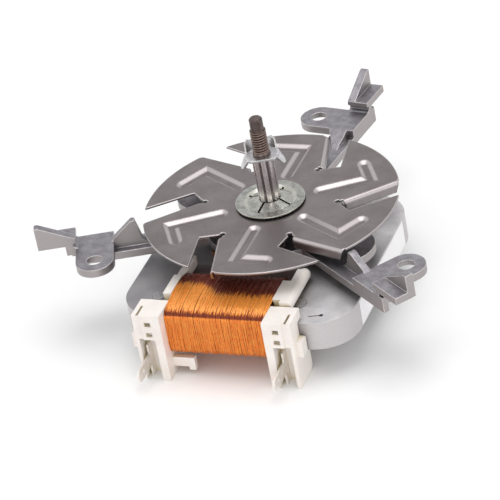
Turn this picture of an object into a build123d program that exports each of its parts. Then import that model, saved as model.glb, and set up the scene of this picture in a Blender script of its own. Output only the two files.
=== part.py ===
"""Shaded-pole motor for an oven's hot-air fan, with its cooling disc and three-armed mounting bracket.

Frame: the origin is the centre of the three mounting holes, on the face of the ears that meets the oven wall.
+Z runs along the shaft towards the fan wheel, and X along the coil, which lies at -Y. Sizes are millimetres.
"""

import os
from math import atan2, cos, degrees, hypot, radians, sin, sqrt

from build123d import *

# Mounting ears: hole circle, and the ear plate beside each arm
hole_circle_r = 67.0
ear_hole_r = 3.0
ear_offset = 14.0
ear_half_width = 7.0
ear_thickness = 3.0
ear_hole_land = 1.2
ear_relief_r = 4.4
arm_count = 3
arm_angle = 81.5

# Arms: web plate, stiffening rib, upright fin
arm_half_width = 4.1
web_shelf = 1.9
web_drop = 3.1
web_thickness = 3.0
rib_width = 2.2
fin_thickness = 2.6
fin_side = 0.6
fin_heights = (7.2, 4.4)
fin_peak_reach = 7.4
fin_peak_flat = 1.3
fin_foot_reach = 13.5
fin_inner_step = 3.2
fin_inner_rise = 2.3
gusset_reach = 10.0
gusset_side = -1.5
gusset_foot = 1.5
fin_overlap = 1.5
fin_ear_reach = 1.0

# Hooks at the arm ends
hook_length = 13.5
hook_rise = 4.1
hook_thickness = 2.7
hook_step = 2.8
riser_lean = 1.0
riser_recess = 0.6
riser_foot = 0.8
hook_lip = 1.6
rib_overrun = 2.6
prong_thickness = 3.1
prong_rise = 6.5
prong_flat = 1.3

# Bracket hub and its two feet on the stack
hub_r = 25.0
boss_r = 11.5
boss_rise = 2.3
foot_r = 8.5
foot_pad_r = 11.5
foot_bar_width = 15.0
hub_hole_r = 3.2
hub_hole_circle_r = 18.5

# Stator stack
stack_drop = 10.4
stack_thickness = 11.0
stack_half_width = 43.5
stack_front = 54.0
stack_back = 30.0
stack_corner_r = 14.5
core_leg_width = 20.0
window_back = 21.0
bore_r = 16.5
joint_tongue = 9.8
joint_width = 5.4
joint_wall = 2.3
mark_length = 4.4
mark_width = 0.5
mark_dot_r = 0.75
mark_depth = 0.6
mark_tilt = 16.0
rivet_r = 1.6
rivet_head_r = 2.6
rivet_head_height = 0.5
rivet_inset = 4.2
rivet_back = 1.8
rear_rivet_x = 20.0
rear_rivet_y = 24.0

# Shading rings round the pole edges
ring_angles = (38.0, 142.0, 218.0, 322.0)
ring_section = 2.0
ring_span = 7.4
ring_clearance = 0.1

# Coil and bobbin
coil_centre_x = -3.75
coil_length = 38.5
coil_build = 2.3
coil_corner_r = 2.6
tube_wall = 1.0
tube_clearance = 0.2
flange_thickness = 3.0
flange_margin = 1.9
flange_back_margin = 1.6
housing_width = 7.6
housing_depth = 7.3
housing_bottom = 33.5
housing_wall = 1.3
housing_overhang = 3.6
housing_underhang = 6.5
housing_floor = 1.2
window_face_height = 10.0
window_face_width = 7.4
window_face_step = 0.5
window_face_thickness = 1.6
terminal_window = 2.4
terminal_window_height = 1.8
terminal_window_pitch = 4.3
rod_r = 2.2
rod_length = 21.0
lug_height = 6.0
lug_depth = 2.4
latch_length = 6.0
latch_rise = 4.6
latch_thickness = 1.8
latch_lip = 2.4
guide_start = 5.0
guide_reach = 8.1
guide_drop = 1.6
guide_rise = 1.9
guide_thickness = 3.8
guide_hook = 2.5
guide_width = 2.0
flange_chamfer = 6.0
notch_start = 10.8
notch_run = 4.2
notch_depth = 5.2
band_start = 13.4
housing_top_step = 1.2
foot_chamfer = 1.2
window_inset = 1.8
wire_slot = 0.9
wire_slot_inset = 1.6
wire_slot_length = 6.0
wire_slot_depth = 6.0
lug_width = 2.2
rod_overhang = 1.5

# Tab terminals
tab_width = 4.8
tab_thickness = 0.8
tab_reach = 9.0
tab_hole_r = 0.8
tab_tip = 1.3
tab_rise = 4.6
tab_droop = 0.3
right_tab_gap = 1.2
left_tab_gap = 4.6
shank_height = 13.0
shank_width = 3.2

# Rotor
air_gap = 0.4
end_ring_height = 2.6
end_ring_width = 6.5
end_ring_round = 0.65
rotor_slots = 15
rotor_slot_r = 1.0
rotor_slot_inset = 1.7
shaft_r = 3.2
shaft_core_r = 4.0
shoulder_length = 3.0
collar_r = 5.0
collar_gap = 0.4
thread_r = 2.95
thread_chamfer = 0.3
tip_r = 2.45
tip_length = 4.9
thread_length = 9.1
shaft_reach = 39.5
end_chamfer = 0.5
shaft_end_gap = 0.6

# Bearings, oil felts, retainers and thrust washers
bearing_r = 6.0
bearing_length = 6.0
bearing_play = 0.03
end_play = 0.1
felt_r = 8.6
felt_thickness = 2.2
retainer_r = 9.8
retainer_thickness = 0.4
retainer_teeth = 8
retainer_slit_length = 2.4
retainer_slit_width = 1.0
thrust_r = 5.6
thrust_thickness = 0.5

# Rear bearing bracket
rear_bar_width = 15.0
rear_bar_thickness = 3.0
rear_boss_r = 10.8
rear_pad_r = 6.4
rear_plate_drop = 4.4
rear_cap_thickness = 1.4
rear_rib_width = 2.0
rear_rib_height = 2.4
rear_rib_clearance = 1.0

# Screws through stack and brackets
screw_x = 31.5
screw_y = 15.0
screw_r = 2.0
screw_head_r = 3.8
screw_head_height = 2.6
screw_recess = 1.4
screw_slot_width = 1.0
screw_slot_depth = 1.2
screw_hole_clearance = 0.2

# Cooling disc
disc_r = 47.0
disc_top = 4.2
disc_thickness = 0.8
blade_count = 6
tip_angle = 10.0
bend_angle = 23.5
cut_inner_r = 31.4
cut_inner_angle = -6.5
bend_inner_r = 25.0
bend_inner_angle = 4.8
relief_r = 1.1
slot_overrun = 3.0
blade_drop = 4.2
blade_slant = 2.2
blade_corner = 0.55
blade_start = 2.2
bend_r = 0.9
bead_angle = 29.5
bead_start_r = 18.4
bead_corner_r = 37.2
bead_leg = 11.2
bead_width = 5.4
bead_floor = 1.8
bead_depth = 1.1

# Push-on washer, fluted sleeve and petal washer on the shaft
clip_r = 12.8
clip_rim_width = 3.0
clip_thickness = 0.5
clip_rim_lift = 0.7
clip_valley_r = 8.3
clip_cone_height = 1.5
clip_slits = 4
clip_slit_width = 1.0
clip_slit_start_r = 4.2
clip_slit_angle = 77.0
clip_slit_overrun = 1.6
sleeve_r = 3.95
sleeve_flutes = 8
flute_r = 0.75
flute_offset = 0.25
sleeve_gap = 0.2
petal_ring_r = 6.3
petal_plate = 0.8
petal_length = 4.6
petal_width = 5.4
petal_tip_width = 3.4
petal_tip_rise = 0.9
petal_up_angles = (75.0, 155.0)
petal_down_angles = (12.0, 115.0, 210.0)
petal_down_tilt = 58.0
petal_up_tilt = 74.0
petal_flat_angle = 292.0
petal_flat_reach = 4.6
petal_gap = 1.0

# Bare label on the stack's side
label_length = 52.0
label_start = 38.0
label_thickness = 0.15
label_margin = 0.5

# Places worked out from the sizes above
ear_p = sqrt(hole_circle_r**2 - ear_offset**2)
ear_in = ear_p - ear_half_width
ear_out = ear_p + ear_half_width
hook_reach = ear_out + hook_length
arm_end = ear_out + hook_step - riser_lean
web_top = -web_drop
web_bottom = web_top - web_thickness
stack_top = -stack_drop
stack_bottom = stack_top - stack_thickness
leg_back = core_leg_width - stack_front
leg_mid_y = -stack_front + core_leg_width / 2
leg_mid_z = (stack_top + stack_bottom) / 2
joint_y = -stack_front + joint_wall + joint_width / 2
flange_out = coil_length / 2 + flange_thickness
window_left = coil_centre_x - flange_out - tube_clearance
window_right = coil_centre_x + flange_out + tube_clearance
tube_half_y = core_leg_width / 2 + tube_clearance + tube_wall
tube_half_z = stack_thickness / 2 + tube_clearance + tube_wall
coil_half_y = tube_half_y + coil_build
coil_half_z = tube_half_z + coil_build
flange_half_y = coil_half_y + flange_margin
flange_half_z = coil_half_z + flange_margin
front_shoulder = stack_top + shoulder_length
front_bearing_bottom = front_shoulder + thrust_thickness + end_play
front_bearing_top = front_bearing_bottom + bearing_length
rear_shoulder = stack_bottom - shoulder_length
rear_bearing_top = rear_shoulder - thrust_thickness - end_play
rear_bearing_bottom = rear_bearing_top - bearing_length
shaft_bottom = rear_bearing_bottom + shaft_end_gap
boss_top = web_top + boss_rise
disc_bottom = disc_top - disc_thickness
rotor_r = bore_r - air_gap
rear_plate_top = stack_bottom - rear_plate_drop
rear_plate_bottom = rear_plate_top - rear_bar_thickness
rear_cap_bottom = rear_bearing_bottom - rear_cap_thickness
thread_top = shaft_reach - tip_length
thread_bottom = thread_top - thread_length
arm_angles = [arm_angle + 360 / arm_count * i for i in range(arm_count)]
rib_end = arm_end + rib_overrun
foot_reach = hypot(screw_x, screw_y)
foot_angle = degrees(atan2(-screw_y, screw_x))
screw_spots = [(-screw_x, screw_y), (screw_x, -screw_y)]
rivet_spots = [
    (window_left - rivet_inset, leg_mid_y + rivet_back),
    (window_right + rivet_inset, leg_mid_y + rivet_back),
    (-rear_rivet_x, rear_rivet_y),
    (rear_rivet_x, rear_rivet_y),
]


def arm_plane(angle, side):
    """Upright plane along an arm: x is the distance from the axis, y is height, and side is to the left."""
    return Plane.XZ.rotated((0, 0, angle)).offset(-side)


def on_circle(radius, angle):
    """Point at a radius and an angle in degrees."""
    return (radius * cos(radians(angle)), radius * sin(radians(angle)))


# Shaft: one turned piece with shoulders for the rotor, a collar for the disc and a threaded end
with BuildPart() as shaft:
    with BuildSketch(Plane.XZ):
        with BuildLine():
            Polyline(
                (0, shaft_bottom),
                (shaft_r - end_chamfer, shaft_bottom),
                (shaft_r, shaft_bottom + end_chamfer),
                (shaft_r, rear_shoulder),
                (shaft_core_r, rear_shoulder),
                (shaft_core_r, front_shoulder),
                (shaft_r, front_shoulder),
                (shaft_r, front_bearing_top + collar_gap),
                (collar_r, front_bearing_top + collar_gap),
                (collar_r, disc_bottom),
                (shaft_r, disc_bottom),
                (shaft_r, thread_bottom),
                (thread_r, thread_bottom),
                (thread_r, thread_top - thread_chamfer),
                (thread_r - thread_chamfer, thread_top),
                (tip_r, thread_top),
                (tip_r, shaft_reach - end_chamfer),
                (tip_r - end_chamfer, shaft_reach),
                (0, shaft_reach),
                close=True,
            )
        make_face()
    revolve(axis=Axis.Z)

# Rotor core: a round pack with slots for the cast bars
with BuildPart() as rotor_core:
    with BuildSketch(Plane.XY.offset(stack_bottom)):
        Circle(rotor_r)
        Circle(shaft_core_r, mode=Mode.SUBTRACT)
        with PolarLocations(rotor_r - rotor_slot_inset, rotor_slots):
            Circle(rotor_slot_r, mode=Mode.SUBTRACT)
    extrude(amount=stack_thickness)


def end_ring(plane):
    """Cast end ring of the cage, rounded on its outer side."""
    with BuildPart() as ring:
        with BuildSketch(plane):
            Circle(rotor_r - air_gap)
            Circle(rotor_r - end_ring_width, mode=Mode.SUBTRACT)
        extrude(amount=end_ring_height)
        fillet(ring.faces().sort_by(Axis.Z)[-1 if plane.z_dir.Z > 0 else 0].edges(), end_ring_round)
    return ring


front_end_ring = end_ring(Plane.XY.offset(stack_top))
rear_end_ring = end_ring(Plane.XY.offset(stack_bottom).rotated((180, 0, 0)))

# Rotor bars: fifteen cast rods that join the two end rings through the slots
with BuildPart() as rotor_bars:
    with BuildSketch(Plane.XY.offset(stack_bottom)):
        with PolarLocations(rotor_r - rotor_slot_inset, rotor_slots):
            Circle(rotor_slot_r)
    extrude(amount=stack_thickness)


def ring_washer(outer, inner, bottom, thickness):
    """Flat round washer."""
    with BuildPart() as washer:
        with BuildSketch(Plane.XY.offset(bottom)):
            Circle(outer)
            Circle(inner, mode=Mode.SUBTRACT)
        extrude(amount=thickness)
    return washer


front_thrust_washer = ring_washer(thrust_r, shaft_r + bearing_play, front_shoulder, thrust_thickness)
rear_thrust_bottom = rear_shoulder - thrust_thickness
rear_thrust_washer = ring_washer(thrust_r, shaft_r + bearing_play, rear_thrust_bottom, thrust_thickness)

# One blade: the slot's edge bent down through a quarter turn, with a slanted outer end
bend_x, bend_y = on_circle(disc_r, bend_angle)
root_x, root_y = on_circle(bend_inner_r, bend_inner_angle)
bend_length = hypot(bend_x - root_x, bend_y - root_y)
bend_heading = degrees(atan2(bend_y - root_y, bend_x - root_x))
bend_plane = Plane.YZ.rotated((0, 0, bend_heading))
blade_side = Plane.XZ.rotated((0, 0, bend_heading))
bend_origin = Vector(root_x, root_y, disc_top)
outer_bend_r = bend_r + disc_thickness

with BuildPart() as blade:
    with BuildSketch(Plane(bend_origin, x_dir=-bend_plane.x_dir, z_dir=-bend_plane.z_dir)):
        with BuildLine():
            Line((0, 0), (0, -disc_thickness))
            RadiusArc((0, -disc_thickness), (bend_r, -outer_bend_r), bend_r)
            Polyline(
                (bend_r, -outer_bend_r),
                (bend_r, -blade_drop),
                (outer_bend_r, -blade_drop),
                (outer_bend_r, -outer_bend_r),
            )
            RadiusArc((outer_bend_r, -outer_bend_r), (0, 0), -outer_bend_r)
        make_face()
    extrude(amount=-bend_length)
    with BuildSketch(Plane(bend_origin, x_dir=blade_side.x_dir, z_dir=blade_side.z_dir)):
        with BuildLine():
            Polyline(
                (blade_start, 0),
                (bend_length - blade_corner, 0),
                (bend_length - blade_slant, -blade_drop),
                (blade_start, -blade_drop),
                close=True,
            )
        make_face()
    extrude(amount=2 * outer_bend_r, both=True, mode=Mode.INTERSECT)


def bead_outline(plane, width):
    """L of two round-ended legs, the long one along a ray and the short one beside the rim."""
    middle = (bead_start_r + bead_corner_r) / 2
    corner = on_circle(bead_corner_r, bead_angle)
    short_middle = (
        corner[0] - bead_leg / 2 * sin(radians(bead_angle)),
        corner[1] + bead_leg / 2 * cos(radians(bead_angle)),
    )
    with BuildSketch(plane) as outline:
        with PolarLocations(0, blade_count):
            with Locations(on_circle(middle, bead_angle)):
                SlotCenterToCenter(bead_corner_r - bead_start_r, width, rotation=bead_angle)
            with Locations(short_middle):
                SlotCenterToCenter(bead_leg, width, rotation=bead_angle + 90)
            with Locations(corner):
                Rectangle(width, width, rotation=bead_angle)
    return outline.sketch


# Opening that each blade leaves in the disc, with a round relief at the bend's inner end
with BuildSketch() as blade_slot:
    with BuildLine():
        Polyline(
            on_circle(disc_r, tip_angle),
            on_circle(cut_inner_r, cut_inner_angle),
            (root_x, root_y),
            (bend_x, bend_y),
        )
        ThreePointArc(
            (bend_x, bend_y),
            on_circle(disc_r + slot_overrun, (bend_angle + tip_angle) / 2),
            on_circle(disc_r, tip_angle),
        )
    make_face()
    with Locations((root_x, root_y)):
        Circle(relief_r)

# Cooling disc: a sheet with six slots, six blades and six pressed L grooves, each with its ridge below
wall_run = (bead_width - bead_floor) / 2 / bead_depth
wall_taper = degrees(atan2(wall_run, 1))
ridge_width = bead_width + 2 * disc_thickness * (sqrt(1 + wall_run**2) - wall_run)

with BuildPart() as cooling_disc:
    with BuildSketch(Plane.XY.offset(disc_bottom)):
        Circle(disc_r)
    extrude(amount=disc_thickness)
    extrude(bead_outline(Plane.XY.offset(disc_bottom), ridge_width), amount=-bead_depth, taper=wall_taper)
    extrude(
        bead_outline(Plane.XY.offset(disc_top), bead_width),
        amount=-bead_depth,
        taper=wall_taper,
        mode=Mode.SUBTRACT,
    )
    with BuildSketch(Plane.XY.offset(disc_bottom)):
        Circle(shaft_r + bearing_play)
        with PolarLocations(0, blade_count):
            add(blade_slot.sketch)
    extrude(amount=disc_thickness, mode=Mode.SUBTRACT)
    with PolarLocations(0, blade_count):
        add(blade.part)

# Push-on washer: flat rim, a valley that sits on the disc, and a slit cone that grips the shaft
valley = disc_top + clip_thickness
with BuildPart() as push_washer:
    with BuildSketch(Plane.XZ):
        with BuildLine():
            Polyline(
                (shaft_r, disc_top + clip_cone_height),
                (clip_slit_start_r, disc_top + clip_cone_height),
                (clip_valley_r, disc_top),
                (clip_r - clip_rim_width, disc_top + clip_rim_lift),
                (clip_r, disc_top + clip_rim_lift),
                (clip_r, valley + clip_rim_lift),
                (clip_r - clip_rim_width, valley + clip_rim_lift),
                (clip_valley_r, valley),
                (clip_slit_start_r, valley + clip_cone_height),
                (shaft_r, valley + clip_cone_height),
                close=True,
            )
        make_face()
    revolve(axis=Axis.Z)
    with BuildSketch(Plane.XY.offset(disc_top)):
        with PolarLocations((clip_slit_start_r + clip_valley_r) / 2, clip_slits, start_angle=clip_slit_angle):
            Rectangle(clip_valley_r - clip_slit_start_r + clip_slit_overrun, clip_slit_width)
    extrude(amount=clip_cone_height + clip_rim_lift + clip_thickness, mode=Mode.SUBTRACT)

# Fluted sleeve between the push-on washer and the petal washer
sleeve_bottom = valley + clip_cone_height + sleeve_gap
petal_bottom = thread_bottom - petal_plate - petal_gap
with BuildPart() as fluted_sleeve:
    with BuildSketch(Plane.XY.offset(sleeve_bottom)):
        Circle(sleeve_r)
        with PolarLocations(sleeve_r + flute_offset, sleeve_flutes):
            Circle(flute_r, mode=Mode.SUBTRACT)
        Circle(shaft_r + bearing_play, mode=Mode.SUBTRACT)
    extrude(amount=petal_bottom - sleeve_bottom)


# Petal washer: a ring with petals bent up and down, and one side cut flat beside the sleeve
with BuildPart() as petal:
    with BuildSketch(Plane.XY.offset(petal_bottom)):
        with BuildLine():
            Polyline(
                (0, -petal_width / 2),
                (petal_length - petal_tip_rise, -petal_tip_width / 2),
                (petal_length, 0),
                (petal_length - petal_tip_rise, petal_tip_width / 2),
                (0, petal_width / 2),
                close=True,
            )
        make_face()
    extrude(amount=petal_plate)

with BuildPart() as petal_washer:
    with BuildSketch(Plane.XY.offset(petal_bottom)):
        Circle(petal_ring_r)
        Circle(shaft_r + bearing_play, mode=Mode.SUBTRACT)
        with Locations(Location((0, 0, 0), (0, 0, petal_flat_angle))):
            with Locations((petal_flat_reach + petal_ring_r / 2, 0)):
                Rectangle(petal_ring_r, 2 * petal_ring_r, mode=Mode.SUBTRACT)
    extrude(amount=petal_plate)
    for angles, tilt in ((petal_up_angles, -petal_up_tilt), (petal_down_angles, petal_down_tilt)):
        for angle in angles:
            hinge = Location((0, 0, petal_bottom + petal_plate / 2))
            spin = Location((0, 0, 0), (0, 0, angle))
            out = Location((petal_ring_r - petal_plate, 0, 0), (0, tilt, 0))
            add(petal.part.moved(spin * hinge * out * hinge.inverse()))


# Gusset on the rear arm: a slope from the ear's edge down to the web, narrower at its foot
with BuildPart() as gusset:
    with BuildSketch(arm_plane(arm_angle, arm_half_width + web_shelf)):
        with BuildLine():
            Polyline(
                (ear_in + fin_overlap, 0),
                (ear_in, 0),
                (ear_in - gusset_reach, web_top),
                (ear_in + fin_overlap, web_top),
                close=True,
            )
        make_face()
    extrude(amount=arm_half_width + web_shelf - gusset_side)
    with BuildSketch(Plane.XY.offset(web_top).rotated((0, 0, arm_angle))):
        with BuildLine():
            Polyline(
                (ear_in + fin_overlap, gusset_side),
                (ear_in + fin_overlap, arm_half_width + web_shelf),
                (ear_in, arm_half_width + web_shelf),
                (ear_in - gusset_reach, gusset_side + gusset_foot),
                (ear_in - gusset_reach, gusset_side),
                close=True,
            )
        make_face()
    extrude(amount=-web_top, mode=Mode.INTERSECT)

# Mounting bracket: hub, two feet, and three arms with web, rib, ear and hook
with BuildPart() as mounting_bracket:
    with BuildSketch(Plane.XY.offset(web_bottom)):
        Circle(hub_r)
        SlotCenterToCenter(2 * foot_reach, foot_bar_width, rotation=foot_angle)
        with Locations(*screw_spots):
            Circle(foot_pad_r)
        for angle in arm_angles:
            with Locations(Location((0, 0, 0), (0, 0, angle))):
                with Locations((ear_out / 2, web_shelf / 2)):
                    Rectangle(ear_out, 2 * arm_half_width + web_shelf)
    extrude(amount=web_thickness)
    with BuildSketch(Plane.XY.offset(web_top)):
        Circle(boss_r)
    extrude(amount=boss_rise)
    with BuildSketch(Plane.XY.offset(stack_top)):
        with Locations(*screw_spots):
            Circle(foot_r)
    extrude(amount=web_top - stack_top)
    with BuildSketch(Plane.XY.offset(-ear_thickness)):
        for angle in arm_angles:
            with Locations(Location((0, 0, 0), (0, 0, angle))):
                with Locations((ear_p, (ear_offset - arm_half_width) / 2)):
                    Rectangle(2 * ear_half_width, ear_offset + arm_half_width)
                with Locations((ear_p, ear_offset)):
                    Circle(ear_half_width)
    extrude(amount=ear_thickness)
    with BuildSketch(Plane.XY.offset(web_bottom)):
        for angle in arm_angles:
            with Locations(Location((0, 0, 0), (0, 0, angle))):
                with Locations(((ear_in + rib_end) / 2, -arm_half_width + rib_width / 2)):
                    Rectangle(rib_end - ear_in, rib_width)
    extrude(amount=-web_bottom)
    for angle in arm_angles:
        # Riser and hook plate
        with BuildSketch(arm_plane(angle, arm_half_width)):
            with BuildLine():
                Polyline(
                    (ear_out - riser_lean, -ear_thickness),
                    (ear_out - riser_lean, 0),
                    (ear_out + riser_recess, riser_foot),
                    (ear_out + riser_recess, hook_rise - hook_lip - riser_foot / 2),
                    (ear_out - riser_recess, hook_rise - hook_lip),
                    (ear_out - riser_recess, hook_rise),
                    (hook_reach, hook_rise),
                    (hook_reach, hook_rise - hook_thickness),
                    (ear_out + hook_step, hook_rise - hook_thickness),
                    (arm_end, -ear_thickness),
                    close=True,
                )
            make_face()
        extrude(amount=2 * arm_half_width)
        # Prong along the hook's edge
        with BuildSketch(arm_plane(angle, arm_half_width)):
            with BuildLine():
                Polyline(
                    (ear_out - riser_recess, hook_rise - hook_lip),
                    (ear_out - riser_recess, hook_rise),
                    (hook_reach - prong_flat, hook_rise + prong_rise),
                    (hook_reach, hook_rise + prong_rise),
                    (hook_reach, hook_rise - hook_lip),
                    close=True,
                )
            make_face()
        extrude(amount=prong_thickness)
    # Upright fins between web and ear on the left and the right arm, and the gusset on the rear one
    for angle, fin_height in zip(arm_angles[1:], fin_heights):
        with BuildSketch(arm_plane(angle, fin_side + fin_thickness)):
            with BuildLine():
                Polyline(
                    (ear_in + fin_overlap, 0),
                    (ear_in + fin_ear_reach, 0),
                    (ear_in - fin_peak_reach, fin_height),
                    (ear_in - fin_peak_reach - fin_peak_flat, fin_height),
                    (ear_in - fin_peak_reach - fin_inner_step, web_top + fin_inner_rise),
                    (ear_in - fin_foot_reach, web_top),
                    (ear_in + fin_overlap, web_top),
                    close=True,
                )
            make_face()
        extrude(amount=fin_thickness)
    add(gusset.part)
    # Ear holes, wider behind the face that the oven wall meets
    with BuildSketch(Plane.XY.offset(-ear_thickness)):
        for angle in arm_angles:
            with Locations(Location((0, 0, 0), (0, 0, angle))):
                with Locations((ear_p, ear_offset)):
                    Circle(ear_hole_r)
    extrude(amount=ear_thickness, mode=Mode.SUBTRACT)
    with BuildSketch(Plane.XY.offset(-ear_thickness)):
        for angle in arm_angles:
            with Locations(Location((0, 0, 0), (0, 0, angle))):
                with Locations((ear_p, ear_offset)):
                    Circle(ear_relief_r)
    extrude(amount=ear_thickness - ear_hole_land, mode=Mode.SUBTRACT)
    # Bearing seat, felt recess, hub holes and tapped screw holes
    with BuildSketch(Plane.XY.offset(web_bottom)):
        Circle(bearing_r)
        with PolarLocations(hub_hole_circle_r, 2 * arm_count, start_angle=arm_angle + 180 / (2 * arm_count)):
            Circle(hub_hole_r)
    extrude(amount=boss_top - web_bottom, mode=Mode.SUBTRACT)
    with BuildSketch(Plane.XY.offset(web_bottom)):
        Circle(felt_r)
    extrude(amount=felt_thickness, mode=Mode.SUBTRACT)
    with BuildSketch(Plane.XY.offset(stack_top)):
        with Locations(*screw_spots):
            Circle(screw_r)
    extrude(amount=web_top - stack_top - screw_recess, mode=Mode.SUBTRACT)


def bush(bottom):
    """Sintered bush with chamfered ends."""
    with BuildPart() as part:
        with BuildSketch(Plane.XY.offset(bottom)):
            Circle(bearing_r)
            Circle(shaft_r + bearing_play, mode=Mode.SUBTRACT)
        extrude(amount=bearing_length)
        chamfer(part.edges().filter_by(GeomType.CIRCLE).group_by(SortBy.RADIUS)[-1], end_chamfer)
    return part


def toothed_retainer(bottom):
    """Thin ring whose inner teeth hold a bush."""
    with BuildPart() as part:
        with BuildSketch(Plane.XY.offset(bottom)):
            Circle(retainer_r)
            Circle(bearing_r + bearing_play, mode=Mode.SUBTRACT)
            with PolarLocations(bearing_r + retainer_slit_length / 2, retainer_teeth):
                Rectangle(retainer_slit_length, retainer_slit_width, mode=Mode.SUBTRACT)
        extrude(amount=retainer_thickness)
    return part


front_bearing = bush(front_bearing_bottom)
front_felt = ring_washer(felt_r, bearing_r, web_bottom, felt_thickness)
front_retainer = toothed_retainer(web_bottom - retainer_thickness)

# Rear bearing bracket: a bar with two pads on the stack, a bearing cup and two ribs
with BuildPart() as rear_bracket:
    with BuildSketch(Plane.XY.offset(rear_plate_bottom)):
        SlotCenterToCenter(2 * foot_reach, rear_bar_width, rotation=foot_angle)
        Circle(rear_boss_r)
    extrude(amount=rear_bar_thickness)
    with BuildSketch(Plane.XY.offset(rear_plate_top)):
        with Locations(*screw_spots):
            Circle(rear_pad_r)
    extrude(amount=stack_bottom - rear_plate_top)
    with BuildSketch(Plane.XY.offset(rear_cap_bottom)):
        Circle(rear_boss_r)
    extrude(amount=rear_plate_bottom - rear_cap_bottom)
    with BuildSketch(Plane.XY.offset(rear_plate_bottom).rotated((0, 0, foot_angle))):
        for side in (-1, 1):
            with Locations((0, side * (rear_bar_width - rear_rib_width) / 2)):
                Rectangle(2 * (foot_reach - screw_head_r - rear_rib_clearance), rear_rib_width)
    extrude(amount=-rear_rib_height)
    with BuildSketch(Plane.XY.offset(rear_bearing_bottom)):
        Circle(bearing_r)
    extrude(amount=rear_plate_top - rear_bearing_bottom, mode=Mode.SUBTRACT)
    with BuildSketch(Plane.XY.offset(rear_plate_top)):
        Circle(felt_r)
    extrude(amount=-felt_thickness, mode=Mode.SUBTRACT)
    with BuildSketch(Plane.XY.offset(rear_plate_bottom)):
        with Locations(*screw_spots):
            Circle(screw_r + screw_hole_clearance)
    extrude(amount=stack_bottom - rear_plate_bottom, mode=Mode.SUBTRACT)

rear_bearing = bush(rear_bearing_bottom)
rear_felt = ring_washer(felt_r, bearing_r, rear_plate_top - felt_thickness, felt_thickness)
rear_retainer = toothed_retainer(rear_plate_top)

# Stator stack: round corners, window for the coil, rotor bore, joint notches, ring slots and screw holes
core_centre_x = (window_left + window_right) / 2
core_span = window_right - window_left
ring_slot = ring_section + 2 * ring_clearance
with BuildPart() as stator_stack:
    with BuildSketch(Plane.XY.offset(stack_bottom)):
        with Locations((0, (stack_back - stack_front) / 2)):
            RectangleRounded(2 * stack_half_width, stack_front + stack_back, stack_corner_r)
        with Locations((core_centre_x, (leg_back - window_back) / 2)):
            Rectangle(core_span, -window_back - leg_back, mode=Mode.SUBTRACT)
        with Locations((core_centre_x, leg_mid_y)):
            Rectangle(core_span, core_leg_width, mode=Mode.SUBTRACT)
        with Locations((core_centre_x, joint_y)):
            Rectangle(core_span + 2 * joint_tongue, joint_width, mode=Mode.SUBTRACT)
        Circle(bore_r, mode=Mode.SUBTRACT)
        with Locations(*screw_spots):
            Circle(screw_r + screw_hole_clearance, mode=Mode.SUBTRACT)
        for x, y in rivet_spots:
            with Locations((x, y)):
                Circle(rivet_r, mode=Mode.SUBTRACT)
        for angle in ring_angles:
            with Locations(Location((0, 0, 0), (0, 0, angle))):
                with Locations((bore_r + ring_section / 2, 0)):
                    Rectangle(ring_slot + 2 * ring_clearance, ring_slot, mode=Mode.SUBTRACT)
                with Locations((bore_r + ring_span, 0)):
                    Rectangle(ring_slot, ring_slot, mode=Mode.SUBTRACT)
    extrude(amount=stack_thickness)
    with BuildSketch(Plane.XY.offset(stack_top)):
        with Locations((window_right + joint_tongue + mark_length / 2, joint_y)):
            SlotOverall(mark_length, mark_width, rotation=mark_tilt)
        with Locations(
            (
                window_right + joint_tongue + mark_length,
                joint_y + mark_length / 2 * sin(radians(mark_tilt)),
            )
        ):
            Circle(mark_dot_r)
    extrude(amount=-mark_depth, mode=Mode.SUBTRACT)

# Coil core: the lamination pack through the bobbin, with a tongue at each end
with BuildPart() as coil_core:
    with BuildSketch(Plane.XY.offset(stack_bottom)):
        with Locations((core_centre_x, leg_mid_y)):
            Rectangle(core_span, core_leg_width)
        with Locations((core_centre_x, joint_y)):
            Rectangle(core_span + 2 * joint_tongue, joint_width)
    extrude(amount=stack_thickness)

# Stack rivets: four, with a low head on each face
with BuildPart() as stack_rivets:
    with BuildSketch(Plane.XY.offset(stack_bottom)):
        with Locations(*rivet_spots):
            Circle(rivet_r)
    extrude(amount=stack_thickness)
    for face_z, way in ((stack_top, 1), (stack_bottom, -1)):
        with BuildSketch(Plane.XY.offset(face_z)):
            with Locations(*rivet_spots):
                Circle(rivet_head_r)
        extrude(amount=way * rivet_head_height)

# Shading rings: closed copper loops through the stack beside the bore
ring_loop = ring_span + ring_section / 2 - ring_clearance
with BuildPart() as shading_rings:
    for angle in ring_angles:
        with BuildSketch(arm_plane(angle, ring_section / 2)):
            with Locations((bore_r + (ring_span + ring_section / 2 + ring_clearance) / 2, leg_mid_z)):
                Rectangle(ring_loop, stack_thickness + 2 * ring_section)
                Rectangle(ring_loop - 2 * ring_section, stack_thickness, mode=Mode.SUBTRACT)
        extrude(amount=ring_section)

# Coil: a rounded winding round the bobbin's tube
coil_plane = Plane.YZ.offset(coil_centre_x - coil_length / 2)
with BuildPart() as coil:
    with BuildSketch(coil_plane):
        with Locations((leg_mid_y, leg_mid_z)):
            RectangleRounded(2 * coil_half_y, 2 * coil_half_z, coil_corner_r)
            Rectangle(2 * tube_half_y, 2 * tube_half_z, mode=Mode.SUBTRACT)
    extrude(amount=coil_length)

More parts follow.
